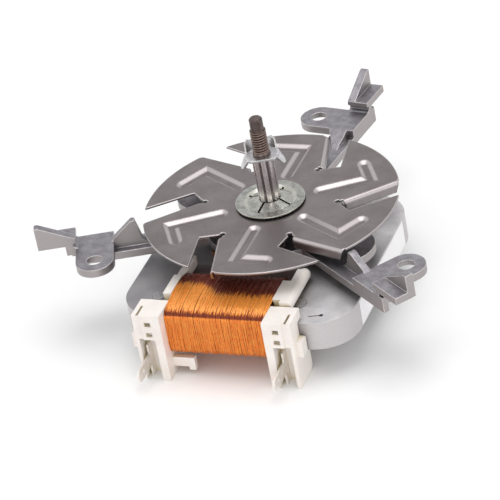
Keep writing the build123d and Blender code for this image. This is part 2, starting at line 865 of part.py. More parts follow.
# Bobbin: tube, two flanges and two open terminal housings that hang in front of the stack, one moulding
housing_back = -stack_front - tube_clearance
housing_front = housing_back - housing_depth
flange_top = leg_mid_z + flange_half_z
flange_bottom = leg_mid_z - flange_half_z
flange_back = leg_mid_y + flange_half_y - flange_back_margin
housing_top = flange_top - housing_top_step
window_face_bottom = housing_top - window_face_height
under_stack = stack_bottom - tube_clearance
foot_z = -housing_bottom
foot_back = housing_back + housing_underhang
band_front = housing_front + band_start
with BuildPart() as bobbin:
    with BuildSketch(Plane.YZ.offset(coil_centre_x - flange_out)):
        with Locations((leg_mid_y, leg_mid_z)):
            Rectangle(2 * tube_half_y, 2 * tube_half_z)
    extrude(amount=2 * flange_out)
    for side in (-1, 1):
        inner_x = coil_centre_x + side * coil_length / 2
        flange_face = inner_x + side * flange_thickness
        outer_x = flange_face + side * housing_width
        # Flange: a notch for the wire, a front wall that runs down to the foot, and a latch behind it
        with BuildSketch(Plane.YZ.offset(inner_x)):
            with BuildLine():
                Polyline(
                    (housing_front, housing_top),
                    (housing_front + notch_start, housing_top),
                    (housing_front + notch_start + notch_run, housing_top - notch_depth),
                    (band_front, flange_top),
                    (flange_back - flange_chamfer, flange_top),
                    (flange_back, flange_top - flange_chamfer),
                    (flange_back, flange_bottom),
                    (foot_back, flange_bottom),
                    (foot_back, foot_z + latch_rise),
                    (foot_back + latch_length, foot_z + latch_rise),
                    (foot_back + latch_length, foot_z),
                    (foot_back + latch_length - latch_lip, foot_z),
                    (foot_back + latch_length - latch_lip, foot_z + latch_rise - latch_thickness),
                    (foot_back, foot_z + latch_rise - latch_thickness),
                    (foot_back, foot_z + foot_chamfer),
                    (foot_back - foot_chamfer, foot_z),
                    (housing_front, foot_z),
                    close=True,
                )
            make_face()
        extrude(amount=side * flange_thickness)
        # Housing block: its top reaches over the stack's edge, and its lower part in under the stack
        with BuildSketch(Plane.YZ.offset(flange_face)):
            with BuildLine():
                Polyline(
                    (housing_front, housing_top),
                    (housing_back + housing_overhang, housing_top),
                    (housing_back + housing_overhang, stack_top + tube_clearance),
                    (housing_back, stack_top + tube_clearance),
                    (housing_back, under_stack),
                    (foot_back, under_stack),
                    (foot_back, foot_z + foot_chamfer),
                    (foot_back - foot_chamfer, foot_z),
                    (housing_front, foot_z),
                    close=True,
                )
            make_face()
        extrude(amount=side * housing_width)
        # Hollow behind the window face, open to the front below it and at the foot
        with BuildSketch(Plane.YZ.offset(flange_face)):
            with BuildLine():
                Polyline(
                    (housing_front + window_face_thickness, housing_top - housing_floor),
                    (housing_back - housing_wall, housing_top - housing_floor),
                    (housing_back - housing_wall, foot_z),
                    (housing_front, foot_z),
                    (housing_front, window_face_bottom),
                    (housing_front + window_face_thickness, window_face_bottom),
                    close=True,
                )
            make_face()
        extrude(amount=side * (housing_width - housing_wall), mode=Mode.SUBTRACT)
        # The window face stands proud of the outer wall, with two windows in it
        step_width = outer_x - inner_x - side * window_face_width
        with BuildSketch(Plane.XZ.offset(-housing_front)):
            with Locations((outer_x - step_width / 2, (housing_top + foot_z) / 2)):
                Rectangle(abs(step_width), housing_top - foot_z)
        extrude(amount=-window_face_step, mode=Mode.SUBTRACT)
        with BuildSketch(Plane.XZ.offset(-housing_front)):
            for row in (0, 1):
                window_z = window_face_bottom + (row + 1 / 2) * terminal_window_pitch
                with Locations((flange_face + side * window_inset, window_z)):
                    Rectangle(terminal_window, terminal_window_height)
        extrude(amount=-window_face_thickness, mode=Mode.SUBTRACT)
        # Wire slot in the block's top, and the lug on its side
        with BuildSketch(Plane.XY.offset(housing_top)):
            slot_x = outer_x - side * (wire_slot_inset + wire_slot / 2)
            with Locations((slot_x, housing_back - housing_depth / 2)):
                Rectangle(wire_slot, wire_slot_length)
        extrude(amount=-wire_slot_depth, mode=Mode.SUBTRACT)
        with BuildSketch(Plane.YZ.offset(outer_x)):
            with Locations((housing_back - lug_depth, stack_bottom + lug_height / 2)):
                Rectangle(2 * lug_depth, lug_height)
        extrude(amount=side * lug_width)
    # Hooked guide for the leads, under the coil on the left flange's inner face
    guide_x = coil_centre_x - coil_length / 2
    guide_top = leg_mid_z - coil_half_z - guide_drop
    with BuildSketch(Plane.XZ.offset(-housing_front - guide_start)):
        with BuildLine():
            Polyline(
                (guide_x - flange_thickness / 2, guide_top),
                (guide_x + guide_reach, guide_top),
                (guide_x + guide_reach, foot_z + guide_rise),
                (guide_x + guide_reach - guide_hook, foot_z + guide_rise),
                (guide_x + guide_reach - guide_hook, guide_top - guide_thickness),
                (guide_x - flange_thickness / 2, guide_top - guide_thickness),
                close=True,
            )
        make_face()
    extrude(amount=-guide_width)
    # Round-ended rod on the right flange's outer face
    rod_front = band_front - rod_overhang
    rod_x = coil_centre_x + flange_out + rod_r
    rod_z = flange_top - rod_r
    with BuildSketch(Plane.XZ.offset(-rod_front)):
        with Locations((rod_x, rod_z)):
            Circle(rod_r)
        with Locations((rod_x - rod_r / 2, rod_z)):
            Rectangle(rod_r, 2 * rod_r)
    extrude(amount=-rod_length)
    with Locations((rod_x, rod_front + rod_length, rod_z)):
        Sphere(rod_r)
    # The way through for the core
    with BuildSketch(Plane.YZ.offset(coil_centre_x - flange_out)):
        with Locations((leg_mid_y, leg_mid_z)):
            Rectangle(core_leg_width + 2 * tube_clearance, stack_thickness + 2 * tube_clearance)
    extrude(amount=2 * flange_out, mode=Mode.SUBTRACT)


def tab_terminal(side, gap):
    """Flat tab that points forward from the housing's foot, on a shank that stands against its rear wall."""
    face = coil_centre_x + side * (flange_out + gap)
    tab_back = housing_back - housing_wall
    tab_front = housing_front - tab_reach
    low = foot_z + tab_rise - tab_droop
    with BuildPart() as part:
        with BuildSketch(Plane.YZ.offset(face)):
            with Locations((tab_back - shank_width / 2, foot_z + shank_height / 2)):
                Rectangle(shank_width, shank_height)
            with BuildLine():
                Polyline(
                    (tab_back, foot_z + tab_rise),
                    (tab_front + tab_tip, low),
                    (tab_front, low + tab_tip),
                    (tab_front, low + tab_width - tab_tip),
                    (tab_front + tab_tip, low + tab_width),
                    (tab_back, foot_z + tab_rise + tab_width),
                    close=True,
                )
            make_face()
            with Locations((housing_front - tab_reach / 2, low + (tab_droop + tab_width) / 2)):
                Circle(tab_hole_r, mode=Mode.SUBTRACT)
        extrude(amount=side * tab_thickness)
    return part


# Screws from behind, through the rear bracket and the stack, into the mounting bracket's feet
with BuildPart() as bracket_screws:
    with BuildSketch(Plane.XY.offset(rear_plate_bottom)):
        with Locations(*screw_spots):
            Circle(screw_r)
    extrude(amount=web_top - screw_recess - rear_plate_bottom)
    with BuildSketch(Plane.XY.offset(rear_plate_bottom)):
        with Locations(*screw_spots):
            Circle(screw_head_r)
    extrude(amount=-screw_head_height)
    with BuildSketch(Plane.XY.offset(rear_plate_bottom - screw_head_height)):
        for x, y in screw_spots:
            with Locations((x, y)):
                Rectangle(2 * screw_head_r, screw_slot_width)
    extrude(amount=screw_slot_depth, mode=Mode.SUBTRACT)

# Bare label on the stack's right side
with BuildPart() as label:
    with BuildSketch(Plane.YZ.offset(stack_half_width)):
        with Locations((-label_start + label_length / 2, leg_mid_z)):
            Rectangle(label_length, stack_thickness - 2 * label_margin)
    extrude(amount=label_thickness)

left_terminal = tab_terminal(-1, left_tab_gap)
right_terminal = tab_terminal(1, right_tab_gap)

os.makedirs("parts", exist_ok=True)

shaft.part.label = "shaft"
export_step(shaft.part, "parts/shaft.step")

rotor_core.part.label = "rotor_core"
export_step(rotor_core.part, "parts/rotor_core.step")

rotor_bars.part.label = "rotor_bars"
export_step(rotor_bars.part, "parts/rotor_bars.step")

front_end_ring.part.label = "front_end_ring"
export_step(front_end_ring.part, "parts/front_end_ring.step")

rear_end_ring.part.label = "rear_end_ring"
export_step(rear_end_ring.part, "parts/rear_end_ring.step")

front_thrust_washer.part.label = "front_thrust_washer"
export_step(front_thrust_washer.part, "parts/front_thrust_washer.step")

rear_thrust_washer.part.label = "rear_thrust_washer"
export_step(rear_thrust_washer.part, "parts/rear_thrust_washer.step")

cooling_disc.part.label = "cooling_disc"
export_step(cooling_disc.part, "parts/cooling_disc.step")

push_washer.part.label = "push_washer"
export_step(push_washer.part, "parts/push_washer.step")

fluted_sleeve.part.label = "fluted_sleeve"
export_step(fluted_sleeve.part, "parts/fluted_sleeve.step")

petal_washer.part.label = "petal_washer"
export_step(petal_washer.part, "parts/petal_washer.step")

mounting_bracket.part.label = "mounting_bracket"
export_step(mounting_bracket.part, "parts/mounting_bracket.step")

front_bearing.part.label = "front_bearing"
export_step(front_bearing.part, "parts/front_bearing.step")

front_felt.part.label = "front_felt"
export_step(front_felt.part, "parts/front_felt.step")

front_retainer.part.label = "front_retainer"
export_step(front_retainer.part, "parts/front_retainer.step")

rear_bracket.part.label = "rear_bracket"
export_step(rear_bracket.part, "parts/rear_bracket.step")

rear_bearing.part.label = "rear_bearing"
export_step(rear_bearing.part, "parts/rear_bearing.step")

rear_felt.part.label = "rear_felt"
export_step(rear_felt.part, "parts/rear_felt.step")

rear_retainer.part.label = "rear_retainer"
export_step(rear_retainer.part, "parts/rear_retainer.step")

stator_stack.part.label = "stator_stack"
export_step(stator_stack.part, "parts/stator_stack.step")

coil_core.part.label = "coil_core"
export_step(coil_core.part, "parts/coil_core.step")

stack_rivets.part.label = "stack_rivets"
export_step(stack_rivets.part, "parts/stack_rivets.step")

shading_rings.part.label = "shading_rings"
export_step(shading_rings.part, "parts/shading_rings.step")

coil.part.label = "coil"
export_step(coil.part, "parts/coil.step")

bobbin.part.label = "bobbin"
export_step(bobbin.part, "parts/bobbin.step")

left_terminal.part.label = "left_terminal"
export_step(left_terminal.part, "parts/left_terminal.step")

right_terminal.part.label = "right_terminal"
export_step(right_terminal.part, "parts/right_terminal.step")

bracket_screws.part.label = "bracket_screws"
export_step(bracket_screws.part, "parts/bracket_screws.step")

label.part.label = "label"
export_step(label.part, "parts/label.step")
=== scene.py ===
"""Looks of an oven's hot-air fan motor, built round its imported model.

Lengths are in metres, or in millimetres where a class says so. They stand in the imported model's frame: the
origin is the centre of the ears' hole circle, +Z runs along the shaft towards the fan wheel, and the coil
lies at -Y.
"""

import logging
import math
from dataclasses import dataclass, field
from enum import Enum
from functools import reduce

import bmesh
import bpy
from mathutils import Matrix, Vector

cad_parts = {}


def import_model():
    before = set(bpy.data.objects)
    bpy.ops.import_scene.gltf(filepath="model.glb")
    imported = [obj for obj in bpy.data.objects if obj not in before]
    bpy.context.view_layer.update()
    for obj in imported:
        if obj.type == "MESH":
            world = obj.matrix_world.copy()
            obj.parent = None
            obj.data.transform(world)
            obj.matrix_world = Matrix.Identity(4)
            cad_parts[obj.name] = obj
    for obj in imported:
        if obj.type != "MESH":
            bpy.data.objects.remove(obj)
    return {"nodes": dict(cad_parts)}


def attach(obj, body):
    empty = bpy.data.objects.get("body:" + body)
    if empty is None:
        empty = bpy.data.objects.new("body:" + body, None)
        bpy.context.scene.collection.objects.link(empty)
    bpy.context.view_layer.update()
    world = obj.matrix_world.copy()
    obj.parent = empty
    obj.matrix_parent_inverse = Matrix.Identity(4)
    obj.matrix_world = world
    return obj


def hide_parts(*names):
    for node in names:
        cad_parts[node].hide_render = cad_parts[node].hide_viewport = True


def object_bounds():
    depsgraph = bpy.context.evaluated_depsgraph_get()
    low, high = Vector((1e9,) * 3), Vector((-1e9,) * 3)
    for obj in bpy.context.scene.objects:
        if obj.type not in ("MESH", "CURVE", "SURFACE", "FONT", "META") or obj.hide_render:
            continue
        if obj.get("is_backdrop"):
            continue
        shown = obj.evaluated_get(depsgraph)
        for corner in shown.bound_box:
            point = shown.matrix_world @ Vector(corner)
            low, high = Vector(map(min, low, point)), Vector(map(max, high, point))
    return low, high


LOG = logging.getLogger("oven_fan_motor")
MM = 0.001
FLOAT = "NodeSocketFloat"
VECTOR = "NodeSocketVector"

Colour = tuple[float, float, float]
Point = tuple[float, float, float]
Span = tuple[float, float]
Feeds = dict[str | int, object]
Socket = bpy.types.NodeSocket
Sockets = bpy.types.bpy_prop_collection


class Body(Enum):
    """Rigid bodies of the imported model."""

    FRAME = "frame"
    ROTOR = "rotor"


def rgba(colour: Colour) -> tuple[float, float, float, float]:
    """Give a colour full opacity."""
    return (*colour, 1.0)


def link_object(name: str, data: bpy.types.ID) -> bpy.types.Object:
    """Make an object and link it to the scene.

    Args:
        name: the object's name.
        data: its mesh, lamp or camera.

    Returns:
        The object.
    """
    made = bpy.data.objects.new(name, data)
    bpy.context.scene.collection.objects.link(made)
    return made


def link_work(name: str, work: bmesh.types.BMesh) -> bpy.types.Object:
    """Turn the faces of a finished work outwards and link it to the scene.

    Args:
        name: the name of the mesh and its object.
        work: the finished work, which is freed.

    Returns:
        The object.
    """
    bmesh.ops.recalc_face_normals(work, faces=work.faces)
    mesh = bpy.data.meshes.new(name)
    work.to_mesh(mesh)
    work.free()
    return link_object(name, mesh)


class Tree:
    """A node tree of any kind that is built with short calls."""

    def __init__(self, tree: bpy.types.NodeTree) -> None:
        """Take the tree that the calls build in."""
        self.tree = tree

    def feed(self, socket: Socket, operand: object) -> None:
        """Link or set one input.

        Args:
            socket: the input.
            operand: another node's output to link, or a value to set.
        """
        if isinstance(operand, Socket):
            self.tree.links.new(operand, socket)
        else:
            socket.default_value = operand

    def fill(self, node: bpy.types.Node, feeds: Feeds) -> None:
        """Link or set several inputs of a node."""
        for label, operand in feeds.items():
            self.feed(node.inputs[label], operand)

    def add(self, kind: str, feeds: Feeds | None = None, **settings: object) -> bpy.types.Node:
        """Add a node.

        Args:
            kind: the node's type.
            feeds: for each input, by name or number, a socket to link or a value to set.
            **settings: the node's own settings.

        Returns:
            The node.
        """
        node = self.tree.nodes.new(kind)
        for label, value in settings.items():
            setattr(node, label, value)
        self.fill(node, feeds or {})
        return node

    def math(self, operation: str, *operands: object) -> Socket:
        """Add a Math node and give its output."""
        return self.add("ShaderNodeMath", dict(enumerate(operands)), operation=operation).outputs[0]

    def total(self, *numbers: object) -> Socket:
        """Add numbers up."""
        return reduce(lambda first, second: self.math("ADD", first, second), numbers)

    def product(self, *numbers: object) -> Socket:
        """Multiply numbers."""
        return reduce(lambda first, second: self.math("MULTIPLY", first, second), numbers)

    def difference(self, first: object, second: object) -> Socket:
        """Take the second number from the first."""
        return self.math("SUBTRACT", first, second)

    def vector(self, x: object = 0.0, y: object = 0.0, z: object = 0.0) -> Socket:
        """Join three numbers into a vector."""
        return self.add("ShaderNodeCombineXYZ", {"X": x, "Y": y, "Z": z}).outputs[0]

    def split(self, vector: Socket) -> tuple[Socket, ...]:
        """Split a vector into its three numbers."""
        return tuple(self.add("ShaderNodeSeparateXYZ", {0: vector}).outputs)

    def noise(self, place: Socket, scale: object, detail: float = 2.0) -> Socket:
        """Add a noise and give its value, from 0 to 1."""
        feeds = {"Vector": place, "Scale": scale, "Detail": detail}
        return self.add("ShaderNodeTexNoise", feeds).outputs["Fac"]


class ShaderTree(Tree):
    """The tree of a material or of a shader group."""

    def ramp(self, value: Socket, low: object, high: object) -> Socket:
        """Take a value from low..high to 0..1, smoothly."""
        feeds = {"Value": value, "From Min": low, "From Max": high}
        return self.add("ShaderNodeMapRange", feeds, interpolation_type="SMOOTHSTEP").outputs["Result"]

    def mix(self, factor: Socket, first: object, second: object) -> Socket:
        """Mix two colours.

        Args:
            factor: 0 gives the first colour and 1 the second.
            first: a socket or a colour.
            second: a socket or a colour.

        Returns:
            The mixed colour's socket.
        """
        node = self.add("ShaderNodeMix", {"Factor": factor}, data_type="RGBA")
        colours = (socket for socket in node.inputs if socket.type == "RGBA")
        for socket, operand in zip(colours, (first, second)):
            self.feed(socket, operand if isinstance(operand, Socket) else rgba(operand))
        return next(socket for socket in node.outputs if socket.type == "RGBA")

    def bump(self, height: Socket, depth: float, normal: Socket) -> Socket:
        """Lay a relief of heights from 0 to 1 on a normal; a negative depth presses it in."""
        feeds = {"Distance": abs(depth), "Height": height, "Normal": normal}
        return self.add("ShaderNodeBump", feeds, invert=depth < 0).outputs["Normal"]

    def group(self, shared: bpy.types.ShaderNodeTree, vector: Socket, values: dict[str, float]) -> Sockets:
        """Place a shared group with its Vector and the values that differ from its own."""
        return self.add("ShaderNodeGroup", {"Vector": vector, **values}, node_tree=shared).outputs


class NodeGroups:
    """Shader effects that more than one finish uses, each built once as a node group."""

    MOTTLE_DETAIL = 4.0
    MOTTLE_SPAN = (0.3, 0.7)
    EDGE_SAMPLES = 6
    EDGE_FROM = 0.01
    BREAKUP_SPAN = (0.35, 0.6)
    SCRATCH_DETAIL = 3.0
    UPRIGHT_SPAN = (0.4, 0.9)

    def __init__(self) -> None:
        """Build every group."""
        self.mottle = self._mottle()
        self.edge_wear_and_highlight = self._edge_wear_and_highlight()
        self.scratches = self._scratches()
        self.bands = self._bands()
        self.slope = self._slope()

    @staticmethod
    def _new(name: str, values: dict[str, float],
             outputs: dict[str, str]) -> tuple[ShaderTree, Sockets, Sockets]:
        """Make an empty group that takes a Vector and some numbers.

        Args:
            name: the group's name.
            values: for each number, its value at first.
            outputs: for each output, its socket type.

        Returns:
            The group's tree, the sockets that come in and the sockets that go out.
        """
        tree = bpy.data.node_groups.new(name, "ShaderNodeTree")
        tree.interface.new_socket("Vector", in_out="INPUT", socket_type=VECTOR)
        for label, value in values.items():
            socket = tree.interface.new_socket(label, in_out="INPUT", socket_type=FLOAT)
            socket.default_value = value
        for label, kind in outputs.items():
            tree.interface.new_socket(label, in_out="OUTPUT", socket_type=kind)
        start = tree.nodes.new("NodeGroupInput")
        end = tree.nodes.new("NodeGroupOutput")
        return ShaderTree(tree), start.outputs, end.inputs

    def _mottle(self) -> bpy.types.ShaderNodeTree:
        """Build the group of soft patches in two sizes.

        Returns:
            The group, with a Mask from 0 to 1 over the surface and the Fine patches by themselves.
        """
        values = {"Patch Scale": 250.0, "Fine Scale": 1500.0, "Fine Share": 0.35}
        tree, start, end = self._new("mottle", values, {"Mask": FLOAT, "Fine": FLOAT})
        noises = (tree.noise(start["Vector"], start[scale], self.MOTTLE_DETAIL)
                  for scale in ("Patch Scale", "Fine Scale"))
        patch, fine = (tree.ramp(noise, *self.MOTTLE_SPAN) for noise in noises)
        share = start["Fine Share"]
        mask = tree.total(tree.product(fine, share), tree.product(patch, tree.difference(1.0, share)))
        tree.feed(end["Mask"], mask)
        tree.feed(end["Fine"], fine)
        return tree.tree

    def _edge_wear_and_highlight(self) -> bpy.types.ShaderNodeTree:
        """Build the group that finds edges, for wear and for painted highlights.

        Returns:
            The group, with a Mask that is 1 where the surface turns and a rounded Normal.
        """
        values = {"Radius": 0.3 * MM, "Softness": 0.25, "Breakup": 0.5, "Breakup Scale": 900.0}
        tree, start, end = self._new("edge_wear_and_highlight", values, {"Mask": FLOAT, "Normal": VECTOR})
        bevel = tree.add("ShaderNodeBevel", {"Radius": start["Radius"]}, samples=self.EDGE_SAMPLES)
        flat = tree.add("ShaderNodeNewGeometry").outputs["Normal"]
        dot = tree.add("ShaderNodeVectorMath", {0: bevel.outputs["Normal"], 1: flat}, operation="DOT_PRODUCT")
        turn = tree.difference(1.0, dot.outputs["Value"])
        edge = tree.ramp(turn, self.EDGE_FROM, start["Softness"])
        noise = tree.noise(start["Vector"], start["Breakup Scale"])
        broken = tree.product(tree.ramp(noise, *self.BREAKUP_SPAN), start["Breakup"])
        tree.feed(end["Mask"], tree.product(edge, tree.difference(1.0, broken)))
        tree.feed(end["Normal"], bevel.outputs["Normal"])
        return tree.tree

    def _scratches(self) -> bpy.types.ShaderNodeTree:
        """Build the group of fine marks drawn out along Y.

        Returns:
            The group, with a Height from 0 to 1.
        """
        tree, start, end = self._new("scratches", {"Scale": 3000.0, "Stretch": 0.03}, {"Height": FLOAT})
        squeeze = tree.vector(1.0, start["Stretch"], 1.0)
        drawn = tree.add("ShaderNodeVectorMath", {0: start["Vector"], 1: squeeze}, operation="MULTIPLY")
        height = tree.noise(drawn.outputs["Vector"], start["Scale"], self.SCRATCH_DETAIL)
        tree.feed(end["Height"], height)
        return tree.tree

    def _slope(self) -> bpy.types.ShaderNodeTree:
        """Build the group that finds slopes by the normal.

        Returns:
            The group, with a Mask that rises with the slope and can fall again on upright walls.
        """
        values = {"From": 0.03, "To": 0.12, "Upright Share": 1.0}
        tree, start, end = self._new("slope", values, {"Mask": FLOAT})
        z = tree.split(start["Vector"])[2]
        turn = tree.difference(1.0, tree.math("ABSOLUTE", z))
        upright = tree.ramp(turn, *self.UPRIGHT_SPAN)
        lost = tree.product(upright, tree.difference(1.0, start["Upright Share"]))
        mask = tree.ramp(turn, start["From"], start["To"])
        tree.feed(end["Mask"], tree.product(mask, tree.difference(1.0, lost)))
        return tree.tree

    def _bands(self) -> bpy.types.ShaderNodeTree:
        """Build the group of thin parallel lines across Z.

        Returns:
            The group, with a Line that is 1 on a line and 0 between.
        """
        values = {"Pitch": 0.5 * MM, "Width": 0.25, "Wander": 0.3, "Wander Scale": 120.0}
        tree, start, end = self._new("bands", values, {"Line": FLOAT})
        z = tree.split(start["Vector"])[2]
        drift = tree.product(tree.noise(start["Vector"], start["Wander Scale"]), start["Wander"])
        place = tree.total(tree.math("DIVIDE", z, start["Pitch"]), drift)
        distance = tree.math("ABSOLUTE", tree.difference(tree.math("FRACT", place), 0.5))
        tree.feed(end["Line"], tree.ramp(distance, start["Width"], 0.0))
        return tree.tree


@dataclass(frozen=True)
class Finish:
    """A finish: two colours that run into each other in patches, an edge colour for wear and for painted
    highlights, painted light and shade by tilt and painted shade in hollows where set, and a fine relief.
    """

    name: str
    dark: Colour
    light: Colour
    metallic: float = 1.0
    roughness: Span = (0.3, 0.45)  # of the light patches and of the dark ones
    patch: float = 4.0 * MM  # size of the soft patches
    grain: float = 0.5 * MM  # size of the grains
    grain_share: float = 0.35  # the grains' share of the change from dark to light
    relief: float = 0.02 * MM  # height of the grains
    # the edges' colour: a painted highlight on the disc, casting, clip, petal washer and shaft, wear on the
    # plastic and tin, a dark joint on the rivets and label
    edge_colour: Colour | None = None
    edge_radius: float = 0.3 * MM
    edge_breakup: float = 0.5  # share of the edge colour, wear and painted highlight, that the noise takes away
    round_radius: float = 0.0  # of pressed bends that look rounder than they are
    # colour of tilted faces: painted light and shade by tilt
    slope_shading_colour: Colour | None = None
    slope: Span = (0.03, 0.12)  # 1 less the normal's height, where the painted light and shade by tilt starts and is full
    upright_share: float = 1.0  # share of the painted light and shade by tilt that upright walls keep
    scratch_relief: float = 0.0  # height of fine marks along Y
    band_pitch: float = 0.0  # pitch of the lines across Z
    band_dark: float = 0.5  # the lines' colour as a share of the darker one
    band_depth: float = 0.1  # the lines' depth as a share of their pitch
    coat: float = 0.0
    subsurface: float = 0.0
    subsurface_radius: Colour = (1.0, 0.7, 0.4)
    subsurface_scale: float = 1.0 * MM
    # painted shade where walls are near, found by ambient occlusion
    hollow_shade_colour: Colour | None = None
    hollow_shade_reach: float = 3.0 * MM  # how near a wall has to be to cast the painted shade
    hollow_shade_span: Span = (0.65, 0.2)  # openness at which the painted shade starts and is full
    samples: int = 8  # of the Bevel and Ambient Occlusion nodes

    def build(self, groups: NodeGroups) -> bpy.types.Material:
        """Make the material.

        Args:
            groups: the shared shader groups.

        Returns:
            The material, ready for a piece's slot.
        """
        material = bpy.data.materials.new(self.name)
        material.use_nodes = True
        tree = ShaderTree(material.node_tree)
        shader = material.node_tree.nodes["Principled BSDF"]
        tree.fill(shader, {
            "Metallic": self.metallic,
            "Coat Weight": self.coat,
            "Subsurface Weight": self.subsurface,
            "Subsurface Radius": self.subsurface_radius,
            "Subsurface Scale": self.subsurface_scale,
        })
        place = tree.add("ShaderNodeTexCoord").outputs["Object"]
        mottle = tree.group(groups.mottle, place, {
            "Patch Scale": 1.0 / self.patch,
            "Fine Scale": 1.0 / self.grain,
            "Fine Share": self.grain_share,
        })
        rough = tree.add("ShaderNodeMapRange", {
            "Value": mottle["Mask"], "To Min": self.roughness[1], "To Max": self.roughness[0]})
        wear_and_highlight = tree.group(groups.edge_wear_and_highlight, place, {"Radius": self.edge_radius, "Breakup": self.edge_breakup})
        normal = wear_and_highlight["Normal"]
        if self.round_radius:
            rounding = tree.add("ShaderNodeBevel", {"Radius": self.round_radius}, samples=self.samples)
            normal = rounding.outputs["Normal"]
        colour = tree.mix(mottle["Mask"], self.dark, self.light)
        # painted light and shade by the faces' tilt
        if self.slope_shading_colour:
            tilt = tree.group(groups.slope, normal, {
                "From": self.slope[0], "To": self.slope[1], "Upright Share": self.upright_share})
            colour = tree.mix(tilt["Mask"], colour, self.slope_shading_colour)
        # edge colour: wear, and a painted highlight on the metal finishes
        if self.edge_colour:
            colour = tree.mix(wear_and_highlight["Mask"], colour, self.edge_colour)
        # painted shade where walls are near
        if self.hollow_shade_colour:
            reach = {"Distance": self.hollow_shade_reach}
            air = tree.add("ShaderNodeAmbientOcclusion", reach, samples=self.samples).outputs["AO"]
            colour = tree.mix(tree.ramp(air, *self.hollow_shade_span), colour, self.hollow_shade_colour)
        colour = self._tint(tree, place, colour)
        normal = tree.bump(mottle["Fine"], self.relief, normal)
        if self.scratch_relief:
            marks = tree.group(groups.scratches, place, {})
            normal = tree.bump(marks["Height"], self.scratch_relief, normal)
        if self.band_pitch:
            line = tree.group(groups.bands, place, {"Pitch": self.band_pitch})["Line"]
            colour = tree.mix(line, colour, tuple(self.band_dark * part for part in self.dark))
            normal = tree.bump(line, -self.band_depth * self.band_pitch, normal)
        tree.fill(shader, {"Base Color": colour, "Roughness": rough.outputs["Result"], "Normal": normal})
        return material

    def _tint(self, tree: ShaderTree, place: Socket, colour: Socket) -> Socket:
        """Tint the colour by the place on the piece; a plain finish leaves it as it is."""
        return colour


@dataclass(frozen=True)
class WireFinish(Finish):
    """Enamelled wire, with a painted dark reflection along the winding's front ridge, a painted highlight on
    its top and painted shade where it runs in under the disc.
    """

    streak_scale: float = 3000.0
    streak_stretch: float = 0.035  # the smaller, the longer along the turns
    streak_span: Span = (0.36, 0.66)  # noise at which a light streak starts and is full
    deep_span: Span = (0.50, 0.28)  # noise at which a deep streak starts and is full
    deep_share: float = 0.5
    streak_colour: Colour = (0.42, 0.075, 0.008)
    top_floor: float = -12.0 * MM  # height above which the top's tints hold
    ridge_sum: float = -64.4 * MM  # Y plus Z of the ridge
    ridge_foot: Span = (-1.365 * MM, -0.63 * MM)  # the painted dark reflection's lower side, from nothing to full
    ridge_head: Span = (1.05 * MM, 0.315 * MM)  # the same on its upper side
    ridge_rag: float = 4.6 * MM  # how far light streaks draw the line up
    # painted dark reflection along the ridge
    ridge_reflection_colour: Colour = (0.24, 0.034, 0.004)
    top_highlight_run: float = 3.15 * MM  # how far above the ridge the painted highlight on the top is full
    top_highlight_share: float = 0.85
    top_highlight_colour: Colour = (1.0, 0.39, 0.072)
    shade_from: float = -46.8 * MM  # Y at which the painted shade under the disc starts
    shade_run: float = 2.0 * MM  # how far on it is full
    shade_rag: float = 3.0 * MM  # how far streaks move its edge
    shade_left: float = 5.0 * MM  # how much further back on the left
    shade_left_span: Span = (-4.0 * MM, -14.0 * MM)  # X over which that grows
    shade_colour: Colour = (0.23, 0.046, 0.024)

    def _tint(self, tree: ShaderTree, place: Socket, colour: Socket) -> Socket:
        """Tint the wire: streaks along the turns, a painted highlight on the top, the ridge's painted dark
        reflection and the painted shade under the disc.

        Args:
            tree: the material's tree.
            place: the place on the coil.
            colour: the wire's own colour.

        Returns:
            The tinted colour's socket.
        """
        x, y, z = tree.split(place)
        along = tree.product(tree.difference(y, z), self.streak_stretch)
        noise = tree.noise(tree.vector(x, along), self.streak_scale)
        streak = tree.ramp(noise, *self.streak_span)
        deep = tree.product(tree.ramp(noise, *self.deep_span), self.deep_share)
        colour = tree.mix(deep, colour, self.streak_colour)
        on_top = tree.math("GREATER_THAN", z, self.top_floor)
        past_ridge = tree.difference(tree.total(y, z), self.ridge_sum)
        # painted highlight over the top, past the ridge
        lit = tree.product(tree.ramp(past_ridge, 0.0, self.top_highlight_run), on_top)
        colour = tree.mix(tree.product(lit, self.top_highlight_share), colour, self.top_highlight_colour)
        # painted dark reflection along the front ridge, drawn up by light streaks
        reach = tree.product(streak, streak, self.ridge_rag)
        above_foot = tree.ramp(past_ridge, *self.ridge_foot)
        below_head = tree.ramp(tree.difference(past_ridge, reach), *self.ridge_head)
        ridge = tree.product(above_foot, below_head, on_top)
        colour = tree.mix(ridge, colour, self.ridge_reflection_colour)
        # painted shade where the wire runs in under the disc
        rag = tree.product(tree.difference(streak, 0.5), self.shade_rag)
        left = tree.product(tree.ramp(x, *self.shade_left_span), -self.shade_left)
        back = tree.total(y, rag, left)
        shade = tree.product(tree.ramp(back, self.shade_from, self.shade_from + self.shade_run), on_top)
        return tree.mix(shade, colour, self.shade_colour)


